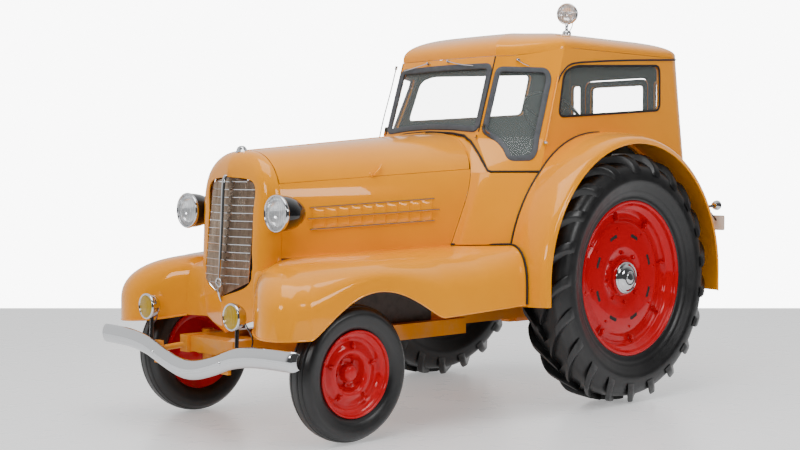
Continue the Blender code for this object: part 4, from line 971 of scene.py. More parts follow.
def cowl_grids():
    """The cowl's strip under the windscreen and its flare down to the rear fender."""
    place = np.linspace(0, 1, 60)
    height = sill_height(place) - np.interp(place, [0.7, 0.95], [0.006, 0.010])
    rear = stack(*cab_plan(place, height), height)
    y = np.full(place.shape, hood_rear(CAB_SILL_Z))
    for _ in range(8):
        x, z = hood_point(y, place * hood_angle(y, CAB_SILL_Z - 0.010))
        y = hood_rear(z) + 0.001
    front = stack(x, y, z)
    share = np.linspace(0, 1, 8)[None, :, None]
    strip = front[:, None] * (1 - share) + rear[:, None] * share
    z = np.linspace(CAB_SILL_Z - 0.010, WAIST_Z, 50)[:, None]
    y_front = hood_rear(z) + 0.001
    x_front = hood_side_x(y_front, z)
    y_rear = WHEELBASE - np.sqrt((FENDER_R + 0.002) ** 2 - (z - REAR_R) ** 2)
    bend_y = (rear[-1, 1] - front[-1, 1]) / (y_rear[0, 0] - front[-1, 1])
    bend_x = (rear[-1, 0] - front[-1, 0]) / (0.69 - front[-1, 0])
    step = np.linspace(0, 2, 41)[None, :]
    along = through([(0, 0), (bend_y, bend_x), (1, 1)], step / 2)
    flare = stack(x_front + (0.69 - x_front) * along[..., 1],
                  y_front + (y_rear - y_front) * along[..., 0], z + 0 * step)
    turn_over = np.array([-1, 1, 1])
    return [np.concatenate([strip[:0:-1] * turn_over, strip]), flare, flare * turn_over]


# ------------------------------------------------------------------ wheels
def lug_bars(centre, axis, hand):
    """Chevron lugs: raised bars that sweep from the shoulder to the tread's middle.

    A bar's height above the carcass is lug depth times a soft-ended profile; its angle
    round the wheel grows with distance from the middle, as sweep * (1 - t)^1.2.
    """
    sizes = bpy.context.scene.tractor
    count, depth = sizes.lug_count, sizes.lug_depth
    t, w = lattice(16, 13)
    half = REAR_W / 2
    across = half * (0.03 + 0.99 * t)
    body_r = REAR_R - depth - 0.085 * np.clip((t - 0.62) / 0.42, 0, 1) ** 1.7
    edge = np.abs(2 * w - 1)
    rise = depth * (1 - edge ** 8) * np.clip((1.04 - t) / 0.09, 0, 1) ** 0.4
    top_r = body_r + rise + 0.0015 - 0.006 * np.clip((t - 0.5) / 0.5, 0, 1)
    top_r = np.minimum(top_r, REAR_R - 0.0005)
    top_r = np.where(edge > 0.999, body_r - 0.012, top_r)
    wide = (0.040 + 0.034 * t) / REAR_R
    turn = 0.34 * t ** 0.85 + (w - 0.5) * wide
    x = hand * across
    lug = stack(x + 0 * w, -np.cos(turn) * top_r, np.sin(turn) * top_r)
    lug = lug + np.asarray(centre, float)
    near = np.broadcast_to(lug[:1].mean(axis=1, keepdims=True), lug[:1].shape)
    far = np.broadcast_to(lug[-1:].mean(axis=1, keepdims=True), lug[-1:].shape)
    lug = np.concatenate([near, lug, far])
    lug = np.concatenate([lug, lug[:, :1]], 1)
    first = 0.0 if hand > 0 else math.pi / count
    return around(lug, centre, axis, count, first)


def front_tyre_profile():
    """Front tyre: bead, rounded sidewall with a rim guard, three ribs and grooves."""
    half, r = FRONT_W / 2, FRONT_R
    t = np.linspace(-1, 1, 61)
    groove = np.exp(-((np.abs(t) - 0.42) / 0.07) ** 2) + np.exp(-((np.abs(t) - 0.86)
                                                                 / 0.05) ** 2)
    crown = r - 0.014 * np.abs(t) ** 3 - 0.008 * groove
    crown = np.stack([crown, 0.66 * half * t], -1)[::-1]
    wall = through([(crown[-1, 0], crown[-1, 1]), (r - 0.030, -half * 0.90),
                    ((r + 0.2205) / 2 + 0.012, -half), (0.252, -half * 0.88),
                    (0.236, -half * 0.76), (0.222, -half * 0.62)], np.linspace(0, 1, 24))
    ridge = 0.0022 * np.exp(-((wall[:, 0] - 0.262) / 0.004) ** 2)
    wall[:, 1] -= ridge
    outer = wall[::-1] * np.array([1, -1])
    return np.concatenate([outer, crown, wall])


def rear_tyre_profile(depth):
    """Rear tyre carcass: a tall rounded sidewall and a nearly flat crown."""
    half, r = REAR_W / 2, REAR_R - depth
    wall = through([(r, -half * 0.30), (r - 0.012, -half * 0.66), (r - 0.052, -half * 0.93),
                    (r - 0.115, -half), (0.545, -half * 0.90), (0.492, -half * 0.74),
                    (0.4665, -half * 0.70), (0.4565, -half * 0.62)], np.linspace(0, 1, 46))
    ridge = 0.003 * np.exp(-((wall[:, 0] - 0.508) / 0.005) ** 2)
    wall[:, 1] -= ridge
    outer = wall[::-1] * np.array([1, -1])
    return np.concatenate([outer, wall])


def smooth_profile(points, count):
    """A turned outline softened through its given points."""
    return through(points, np.linspace(0, 1, count))


def nut(centre, axis, size, height):
    """A six-sided nut or bolt head standing on an axis."""
    shape = [(0, height), (size * 0.86, height), (size, height * 0.8), (size, 0), (0, 0)]
    return lathe(shape, centre, axis, 6)


def build_front_wheel(word, side):
    """Ribbed tyre, dished red wheel with five bolts and clips, and a recessed hub."""
    axis = np.array([side * math.cos(CAMBER), 0, -math.sin(CAMBER)])
    centre = np.array([side * FRONT_X, 0, FRONT_Z])
    body = f"front_wheel_{word}"
    tyre = make_object(f"ribbed_tyre_{word}", [lathe(front_tyre_profile(), centre, axis, 120)])
    face_out(tyre, centre + np.array([0, SHIFT, 0]), axis, 0.29)
    dress(tyre, FINISHES["tyre"], body, "tyre", f"front_tyre_{word}")
    rim = 0.2205
    face = smooth_profile([(rim + 0.004, 0.052), (rim + 0.0035, 0.060), (rim - 0.002, 0.064),
                           (rim - 0.008, 0.058), (rim - 0.012, 0.046), (rim - 0.022, 0.040),
                           (rim - 0.034, 0.032), (rim - 0.043, 0.020), (0.166, 0.014),
                           (0.150, 0.018), (0.132, 0.024), (0.112, 0.026), (0.098, 0.018),
                           (0.086, -0.004), (0.070, -0.020), (0.055, -0.022)], 120)
    hub = smooth_profile([(0.056, -0.022), (0.046, -0.016), (0.042, 0.006), (0.040, 0.020),
                          (0.030, 0.028), (0.016, 0.031), (0.0, 0.032)], 40)
    back = [(0.0, -0.045), (0.055, -0.045), (0.10, -0.012), (0.150, -0.002),
            (rim - 0.048, 0.004), (rim - 0.040, -0.03), (rim - 0.008, -0.046),
            (rim + 0.001, -0.058), (rim + 0.004, -0.052)]
    grids = [lathe(face, centre, axis, 96), lathe(hub, centre, axis, 48),
             lathe(back, centre, axis, 64)]
    up = np.array([0, 0, 1.0]) - axis * axis[2]
    up /= np.linalg.norm(up)
    around_dir = np.cross(axis, up)
    spot = centre + up * 0.140 + axis * 0.018
    clip = sweep(np.array([spot + up * 0.016 + axis * 0.004, spot + up * 0.002 + axis * 0.016,
                           spot - up * 0.014 + axis * 0.012]), rounded_bar(0.030, 0.007, 0.003),
                 up=around_dir)
    details = [around(nut(spot + axis * 0.010, axis, 0.010, 0.016), centre, axis, 5),
               around(clip, centre, axis, 5),
               around(nut(centre + up * 0.063 - axis * 0.022, axis, 0.008, 0.012), centre,
                      axis, 5, 0.5)]
    wheel = make_object(f"red_wheel_{word}", grids, sharp=40)
    face_out(wheel, centre + np.array([0, SHIFT, 0]), axis, None)
    dress(wheel, FINISHES["rims"], body, "wheel", f"front_wheel_{word}")
    bolts = make_object(f"wheel_bolts_{word}", details, closed=True, sharp=30)
    dress(bolts, FINISHES["rims"], body, "wheel")


def face_out(made, centre, axis, tube):
    """Turns a ring's faces outwards: away from its tube's middle circle, or for a disc
    (tube None) so that its front faces along the axis."""
    mesh = made.data
    work = bmesh.new()
    work.from_mesh(mesh)
    axis = Vector(axis).normalized()
    centre = Vector(centre)
    total = 0.0
    for face in list(work.faces)[::37]:
        middle = face.calc_center_median()
        flat = middle - centre - axis * (middle - centre).dot(axis)
        if tube is None:
            total += face.normal.dot(axis) * face.calc_area() if (middle - centre).dot(
                axis) > 0.012 else 0.0
        else:
            total += face.normal.dot(middle - centre - flat.normalized() * tube)
    if total < 0:
        bmesh.ops.reverse_faces(work, faces=work.faces)
    work.to_mesh(mesh)
    work.free()


def build_rear_wheel(word, side):
    """Chevron-lug tyre and dished red wheel with rim lugs, slots painted as flat dark fills
    (painted shade) and a bright cap.
    """
    axis = np.array([side, 0, 0.0])
    centre = np.array([side * REAR_X, WHEELBASE, REAR_R])
    place = centre + np.array([0, SHIFT, 0])
    body = f"rear_wheel_{word}"
    sizes = bpy.context.scene.tractor
    carcass = make_object(f"tyre_carcass_{word}",
                          [lathe(rear_tyre_profile(sizes.lug_depth), centre, axis, 160)])
    face_out(carcass, place, axis, 0.6)
    dress(carcass, FINISHES["tyre"], body, "tyre", f"rear_tyre_{word}")
    lugs = make_object(f"tyre_lugs_{word}",
                       [lug_bars(centre, axis, 1), lug_bars(centre, axis, -1)],
                       closed=True, sharp=40)
    dress(lugs, FINISHES["tyre"], body, "tyre")
    r = 0.4545
    face = smooth_profile([(r + 0.006, 0.098), (r + 0.005, 0.108), (r - 0.004, 0.112),
                           (r - 0.014, 0.104), (r - 0.020, 0.084), (r - 0.034, 0.070),
                           (r - 0.048, 0.058), (r - 0.056, 0.040), (r - 0.066, 0.028),
                           (r - 0.082, 0.026), (0.350, 0.030), (0.330, 0.040),
                           (0.300, 0.044), (0.260, 0.046), (0.215, 0.046), (0.180, 0.044),
                           (0.140, 0.036), (0.108, 0.034)], 160)
    back = [(0.10, -0.045), (0.30, 0.02), (0.36, 0.01), (r - 0.062, 0.02), (r - 0.055, -0.05),
            (r - 0.012, -0.098), (r + 0.004, -0.110), (r + 0.006, -0.098)]
    hub = [(0.108, 0.034), (0.106, 0.052), (0.098, 0.058), (0.0, 0.058)]
    disc = make_object(f"red_disc_{word}", [lathe(face, centre, axis, 88),
                                            lathe(back, centre, axis, 96),
                                            lathe(hub, centre, axis, 64)], sharp=40)
    face_out(disc, place, axis, None)
    dress(disc, FINISHES["rims"], body, "wheel", f"rear_wheel_{word}")
    up = np.array([0, 0, 1.0])
    along = np.cross(axis, up)
    shelf = centre + up * 0.372 + axis * 0.030
    clamp = sweep(np.array([shelf + up * 0.028 + axis * 0.006, shelf + up * 0.008 + axis * 0.018,
                            shelf - up * 0.022 + axis * 0.014]),
                  rounded_bar(0.030, 0.008, 0.003), up=along)
    details = [around(clamp, centre, axis, 8, 0.2),
               around(nut(shelf + axis * 0.014, axis, 0.010, 0.016), centre, axis, 8, 0.2),
               around(nut(centre + up * 0.300 + axis * 0.043, axis, 0.008, 0.010), centre,
                      axis, 8, 0.2),
               around(nut(centre + up * 0.150 + axis * 0.038, axis, 0.012, 0.014), centre,
                      axis, 8, 0.1)]
    bolts = make_object(f"rim_clamps_{word}", details, closed=True, sharp=30)
    dress(bolts, FINISHES["rims"], body, "wheel")
    # Painted shade: the slots are not cut through; each is a flat dark fill in the black beading
    # finish on the disc's face, standing in for the shade seen through a slot.
    slot = rounded_bar(0.070, 0.026, 0.0125, 5)
    flat = [centre + up * 0.255 + axis * 0.0462 + along * a + up * b for a, b in slot]
    flat = np.array(flat + flat[:1])
    middle = np.broadcast_to(flat[:-1].mean(axis=0), flat.shape)
    slot_shade_rings = np.stack([flat, flat + (middle - flat) * 0.5, middle])
    slot_shade = make_object(f"disc_slot_shade_{word}", [around(slot_shade_rings, centre, axis, 8, 0.39)],
                        inside=place - axis)
    dress(slot_shade, FINISHES["bead"], body, "wheel")
    cap = smooth_profile([(0.098, 0.056), (0.097, 0.066), (0.090, 0.073), (0.086, 0.071),
                          (0.080, 0.074), (0.066, 0.086), (0.046, 0.094), (0.034, 0.094),
                          (0.030, 0.098), (0.018, 0.101), (0.0, 0.102)], 70)
    bright = make_object(f"hub_cap_{word}", [lathe(cap, centre, axis, 64)])
    face_out(bright, place, axis, None)
    dress(bright, FINISHES["chrome"], body, "chrome")


# ------------------------------------------------------------------ lamps
def build_lamp(name, centre, axis, r, depth, shell, shell_slot, lens, nodes, rim=0.006):
    """A lamp: bullet shell, bright rim, silvered bowl, bulb and pressed lens."""
    t = np.linspace(0, 1, 26)
    bowl = np.stack([r * (1 - t ** 2.4) ** 0.62, -0.012 - depth * t], -1)
    shell_grid_ = lathe(np.concatenate([[(r - 0.003, -0.006)], bowl]), centre, axis, 64)
    case = make_object(f"{name}_shell", [shell_grid_])
    face_out(case, np.asarray(centre) + (0, SHIFT, 0) - np.asarray(axis) * depth * 0.4, axis,
             0.0)
    dress(case, shell, "chassis", shell_slot, *nodes)
    turn = np.linspace(0, 2 * math.pi, 17)
    ring = np.stack([r - 0.002 + rim * np.cos(turn), -0.004 + 1.7 * rim * np.sin(turn)], -1)
    rim_made = make_object(f"{name}_rim", [lathe(ring, centre, axis, 72)])
    face_out(rim_made, np.asarray(centre) + (0, SHIFT, 0), axis, r)
    dress(rim_made, FINISHES["chrome"], "chassis", "chrome")
    inner = np.stack([(r - 0.005) * np.sqrt(1 - t ** 2), -0.002 - 0.7 * r * t], -1)
    mirror = make_object(f"{name}_bowl", [lathe(inner, centre, axis, 64),
                                          lathe([(0, -0.02), (0.009, -0.024), (0.010, -0.036),
                                                 (0.006, -0.06)], centre, axis, 16)])
    dress(mirror, FINISHES["reflector"], "chassis", "chrome")
    crown = np.stack([(r - 0.004) * t, 0.002 + 0.16 * r * (1 - t ** 2)], -1)
    glass = make_object(f"{name}_lens", [lathe(crown, centre, axis, 64)])
    face_out(glass, np.asarray(centre) + (0, SHIFT, 0) - np.asarray(axis) * r, axis, 0.0)
    dress(glass, lens, "chassis", "glass")


def stuffed(name, size, place, lean):
    """A stuffed pad: a rounded block blown up by a short cloth simulation.

    The block is the superellipsoid |x|^8 + |y|^8 + |z|^8 = 1, so that its seams pull in
    between the corners when it swells.
    """
    v, u = lattice(33, 49)
    a, b = (v - 0.5) * math.pi, (u - 0.5) * 2 * math.pi
    x, y, z = (np.cos(a) * np.cos(b), np.cos(a) * np.sin(b), np.sin(a) + 0 * b)
    reach = (np.abs(x) ** 8 + np.abs(y) ** 8 + np.abs(z) ** 8) ** (-1 / 8)
    x, y, z = (c * reach * half / 2 for c, half in zip((x, y, z), size))
    y, z = (y * math.cos(lean) + z * math.sin(lean), z * math.cos(lean) - y * math.sin(lean))
    pad = make_object(name, [stack(x, y, z) + np.asarray(place, float)], closed=True)
    mesh = pad.modifiers.new("mesh", "REMESH")
    mesh.voxel_size = 0.009
    apply_modifiers(pad)
    before = np.empty(len(pad.data.vertices) * 3)
    pad.data.vertices.foreach_get("co", before)
    cloth = pad.modifiers.new("cloth", "CLOTH")
    cloth.settings.use_pressure = True
    cloth.settings.uniform_pressure_force = 4
    cloth.settings.effector_weights.gravity = 0
    for step in range(1, 21):
        bpy.context.scene.frame_set(step)
    apply_modifiers(pad)
    bpy.context.scene.frame_set(1)
    after = np.empty_like(before)
    pad.data.vertices.foreach_get("co", after)
    move = (after - before).reshape(-1, 3)
    far = np.maximum(np.linalg.norm(move, axis=1, keepdims=True), 1e-9)
    move *= np.minimum(far, 0.009) / far
    pad.data.vertices.foreach_set("co", (before.reshape(-1, 3) + move).ravel())
    soft = pad.modifiers.new("soft", "SUBSURF")
    soft.levels = soft.render_levels = 1
    return pad


def apply_modifiers(made):
    """Replaces an object's mesh by what its modifiers make of it."""
    view = bpy.context.evaluated_depsgraph_get()
    mesh = bpy.data.meshes.new_from_object(made.evaluated_get(view))
    made.modifiers.clear()
    made.data = mesh
    mesh.shade_smooth()


# ------------------------------------------------------------------ settings
class TractorSettings(bpy.types.PropertyGroup):
    """Sizes and colours of the detailed tractor."""

    body_colour: FloatVectorProperty(
        name="Body colour", description="Enamel of the body panels", subtype="COLOR",
        default=(1.0, 0.345, 0.0), min=0, max=1)
    wheel_colour: FloatVectorProperty(
        name="Wheel colour", description="Enamel of the wheel discs and rims",
        subtype="COLOR", default=(0.56, 0.0, 0.006), min=0, max=1)
    seat_colour: FloatVectorProperty(
        name="Seat colour", description="Hide of the driver's seat", subtype="COLOR",
        default=(0.09, 0.008, 0.012), min=0, max=1)
    lug_depth: FloatProperty(
        name="Lug depth", description="Height of the rear tyre's lugs", subtype="DISTANCE",
        unit="LENGTH", default=0.034, min=0.01, max=0.05)
    lug_count: IntProperty(
        name="Lugs a side", description="Lugs on each side of a rear tyre", default=21,
        min=12, max=32)
    bead_radius: FloatProperty(
        name="Beading", description="Radius of the black beading between panels",
        subtype="DISTANCE", unit="LENGTH", default=0.0068, min=0.002, max=0.01)
    louvres: IntProperty(
        name="Louvres", description="Pressed louvres in each side of the hood", default=10,
        min=4, max=24)
    grille_bars: IntProperty(
        name="Upright bars", description="Fine upright bars in the grille", default=58,
        min=20, max=90)
    cross_bars: IntProperty(
        name="Cross bars", description="Bright level bars in the grille", default=14,
        min=4, max=20)


class TractorOperator:
    """Shared by all the tractor's operators."""

    bl_options = {"REGISTER", "UNDO"}


class TRACTOR_OT_stage(TractorOperator, bpy.types.Operator):
    """Pale floor, soft studio lights and the camera"""

    bl_idname = "tractor.stage"
    bl_label = "Studio"

    def execute(self, context):
        half = np.array([-FLOOR_HALF, FLOOR_HALF])
        turn = math.radians(VIEW_TURN)
        along, across = half[:, None], half[None, :]
        floor = make_object("studio_floor", [stack(
            across * math.cos(turn) - along * math.sin(turn),
            across * math.sin(turn) + along * math.cos(turn) - SHIFT, 0 * along * across)],
            inside=(0, 0, -5))
        floor.data.materials.append(FINISHES["floor"])
        world = bpy.data.worlds.new("studio")
        world.use_nodes = True
        tree = world.node_tree
        shown, lit = tree.nodes["Background"], tree.nodes.new("ShaderNodeBackground")
        shown.inputs[1].default_value = 9.0
        lit.inputs[0].default_value = (1, 1, 1, 1)
        lit.inputs[1].default_value = 0.34
        shown.inputs[0].default_value = (1, 1, 1, 1)
        mix, path = tree.nodes.new("ShaderNodeMixShader"), tree.nodes.new(
            "ShaderNodeLightPath")
        tree.links.new(path.outputs["Is Camera Ray"], mix.inputs[0])
        tree.links.new(lit.outputs[0], mix.inputs[1])
        tree.links.new(shown.outputs[0], mix.inputs[2])
        tree.links.new(mix.outputs[0], tree.nodes["World Output"].inputs[0])
        where, facing = (tree.nodes.new(kind) for kind in (
            "ShaderNodeTexCoord", "ShaderNodeVectorMath"))
        facing.operation = "DOT_PRODUCT"
        facing.inputs[1].default_value = (0.83, -0.26, -0.50)
        dim = tree.nodes.new("ShaderNodeMapRange")
        dim.interpolation_type = "SMOOTHSTEP"
        for socket, value in zip(dim.inputs[1:5], (-0.60, 0.35, 1.05, 0.09)):
            socket.default_value = value
        tree.links.new(where.outputs["Generated"], facing.inputs[0])
        tree.links.new(facing.outputs["Value"], dim.inputs[0])
        tree.links.new(dim.outputs[0], lit.inputs[1])
        context.scene.world = world
        for name, place, size, power in (
                ("top", (1.5, -1.5, 6.0), (4.0, 4.0), 230),
                ("front", (3.0, -7.0, 3.4), (1.8, 1.4), 95),
                ("left", (7.0, 1.0, 3.4), (2.6, 1.4), 120)):
            lamp = bpy.data.lights.new(f"light_{name}", "AREA")
            lamp.shape = "RECTANGLE"
            lamp.size, lamp.size_y = size
            lamp.energy = power
            made = bpy.data.objects.new(f"light_{name}", lamp)
            made.location = place
            made.rotation_euler = (Vector((0, 0, 1.0)) - Vector(place)).to_track_quat(
                "-Z", "Y").to_euler()
            context.scene.collection.objects.link(made)
        lens = bpy.data.cameras.new("camera")
        lens.lens = 62.62
        lens.clip_end = 200
        camera = bpy.data.objects.new("camera", lens)
        turn, dip = math.radians(VIEW_TURN), math.radians(2.2751)
        ahead = Vector((-math.sin(turn) * math.cos(dip), math.cos(turn) * math.cos(dip),
                        -math.sin(dip)))
        camera.location = (5.9615, -4.5924 + SHIFT, 1.3806)
        camera.rotation_euler = ahead.to_track_quat("-Z", "Y").to_euler()
        context.scene.collection.objects.link(camera)
        context.scene.camera = camera
        return {"FINISHED"}


class TRACTOR_OT_hood(TractorOperator, bpy.types.Operator):
    """Hood lids, sides, louvres, bright strips, hinge and handles"""

    bl_idname = "tractor.hood"
    bl_label = "Hood"

    def execute(self, context):
        sizes = context.scene.tractor
        middle = (0, 0.4, 1.1)
        for word, side in (("left", 1), ("right", -1)):
            lid = f"hood_{word}"
            panel(f"lid_{word}", [lid_grid(side)], middle, FINISHES["body"],
                  f"hood_top_{word}", body=lid)
            panel(f"side_panel_{word}", [hood_side_grid(side)], middle, FINISHES["body"],
                  f"hood_side_{word}")
            panel(f"louvres_{word}", [louvre_grid(side, sizes.louvres, 0.009)], middle,
                  FINISHES["body"], wall=0.001, edge=0.0002)
            lines = [strip_path(side, louvre_top, 0.030, 0.822),
                     strip_path(side, lambda y: (louvre_top(y) + louvre_low(y)) / 2,
                                0.010, 0.848, 0.0125),
                     strip_path(side, louvre_low, 0.030, 0.822)]
            bars = make_object(f"louvre_strips_{word}",
                               [sweep(p, circle(0.0056, 8, 0.9)) for p in lines],
                               closed=True)
            dress(bars, FINISHES["chrome"], "chassis", "chrome")
            y = np.full(2, 0.44)
            foot = stack(hood_side_x(y, np.array([1.362, 1.362])) * side, y,
                         np.array([1.352, 1.352]))[0]
            lever = curve([foot, foot + (0.022 * side, 0.01, 0.008),
                           foot + (0.020 * side, 0.045, 0.036),
                           foot + (0.004 * side, 0.075, 0.060)], 24)
            catch = make_object(f"lid_catch_{word}",
                                [sweep(lever, circle(0.006, 10, 0.7)),
                                 lathe([(0, 0.012), (0.012, 0.009), (0.016, 0), (0.016,
                                        -0.01)], foot, (side, 0, 0.25), 24)], closed=True)
            dress(catch, FINISHES["body"], lid, "body")
        y = np.linspace(HOOD_FRONT_Y + 0.008, 1.188, 60)
        hinge = make_object("hood_hinge_rod", [sweep(stack(0 * y, y, hood_top(y) - 0.001),
                                                     circle(0.0042, 10))], closed=True)
        dress(hinge, FINISHES["body"], "chassis", "body")
        return {"FINISHED"}


class TRACTOR_OT_nose(TractorOperator, bpy.types.Operator):
    """Radiator shell, cap and grille with its centre spear"""

    bl_idname = "tractor.nose"
    bl_label = "Nose and grille"

    def execute(self, context):
        sizes = context.scene.tractor
        panel("radiator_shell", [shell_grid()], (0, 0.2, 1.0), FINISHES["body"],
              "grille_shell")
        u, share = np.linspace(-1, 1, 21)[:, None], np.linspace(0, 1, 12)[None, :]
        low = 0.716 + 0.082 * np.abs(u)
        high = 1.341 - 0.031 * np.abs(u) ** 1.5
        back = make_object("grille_backing",
                           [grille_point(u, low + (high - low) * share, -0.006)],
                           inside=(0, 0.3, 1.0))
        dress(back, FINISHES["black"], "chassis", "black", "grille")
        bars = make_object("grille_uprights", [grille_bars(sizes.grille_bars)],
                           closed=True, sharp=60)
        dress(bars, FINISHES["bronze"], "chassis", "chrome")
        rungs = [cross_bar(h) for h in np.linspace(0.785, 1.318, sizes.cross_bars)]
        level = make_object("grille_cross_bars", rungs, closed=True)
        dress(level, FINISHES["chrome"], "chassis", "chrome")
        spear_path = curve([(0, -0.262, 1.348), (0, -0.272, 1.340), (0, -0.283, 1.29),
                            (0, -0.293, 1.10), (0, -0.305, 0.92), (0, -0.313, 0.812)], 50)
        spear_size = np.interp(np.linspace(0, 1, 50), [0, 0.1, 0.5, 1], [0.6, 1.15, 1.0, 0.6])
        ring = lathe([(0.021 + 0.0055 * math.cos(a), 0.0055 * math.sin(a))
                      for a in np.linspace(0, 2 * math.pi, 13)], (0, -0.316, 0.789),
                     (0, -1, -0.1), 36)
        tail_path = curve([(0, -0.315, 0.768), (0, -0.316, 0.74), (0, -0.309, 0.712),
                           (0, -0.300, 0.690)], 20)
        tail_size = np.interp(np.linspace(0, 1, 20), [0, 0.3, 1], [0.5, 0.9, 0.5])
        spear = make_object("grille_spear", [
            sweep(spear_path, circle(0.0105, 12, 0.8), up=(0, -1, 0), scale=spear_size),
            ring, sweep(tail_path, circle(0.010, 12, 0.8), up=(0, -1, 0), scale=tail_size)],
            closed=True)
        dress(spear, FINISHES["chrome"], "chassis", "chrome")
        cap = lathe([(0, 0.030), (0.010, 0.029), (0.020, 0.024), (0.026, 0.014),
                     (0.030, 0.004), (0.034, 0.0), (0.034, -0.012)],
                    (0, -0.162, 1.478), (0, -0.1, 1), 40)
        filler = make_object("radiator_cap", [cap], inside=(0, -0.162, 1.47))
        dress(filler, FINISHES["chrome"], "chassis", "chrome")
        return {"FINISHED"}


class TRACTOR_OT_fenders(TractorOperator, bpy.types.Operator):
    """Front and rear fenders with rolled edges"""

    bl_idname = "tractor.fenders"
    bl_label = "Fenders"

    def execute(self, context):
        for word, side in (("left", 1), ("right", -1)):
            grid = front_fender_grid(side)
            panel(f"wing_{word}", [grid], (side * 0.5, 0.2, 0.2), FINISHES["body"],
                  f"front_fender_{word}", wall=0.004, edge=0.001)
            panel(f"apron_{word}", [apron_grid(side)], (side * 0.25, 0.1, 0.7),
                  FINISHES["body"], wall=0.003, edge=0.0008)
            edge = mirrored(fender_foot(np.linspace(0, 26, 180)), side)
            roll = make_object(f"wing_edge_{word}",
                               [sweep(edge - np.array([side * 0.004, 0, -0.003]),
                                      circle(0.0055, 10), up=(side, 0, 0.3))], closed=True)
            dress(roll, FINISHES["body"], "chassis", "body")
            grid = rear_fender_grid(side)
            panel(f"rear_wing_{word}", [grid], (side * 0.8, WHEELBASE, REAR_R),
                  FINISHES["body"], f"rear_fender_{word}", wall=0.004, edge=0.001)
            angle = np.linspace(0, math.pi, 140)
            rim = stack(0 * angle + side * (FENDER_X - 0.006),
                        WHEELBASE - FENDER_EDGE_R * np.cos(angle),
                        REAR_R + FENDER_EDGE_R * np.sin(angle))
            ends = rim[[0, -1]] * np.array([1, 1, 0]) + np.array([0, 0, FENDER_FOOT + 0.004])
            rim = np.concatenate([ends[:1], rim, ends[1:]])
            roll = make_object(f"rear_wing_edge_{word}",
                               [sweep(rim, circle(0.006, 10), up=(1, 0, 0))], closed=True)
            dress(roll, FINISHES["body"], "chassis", "body")
        return {"FINISHED"}


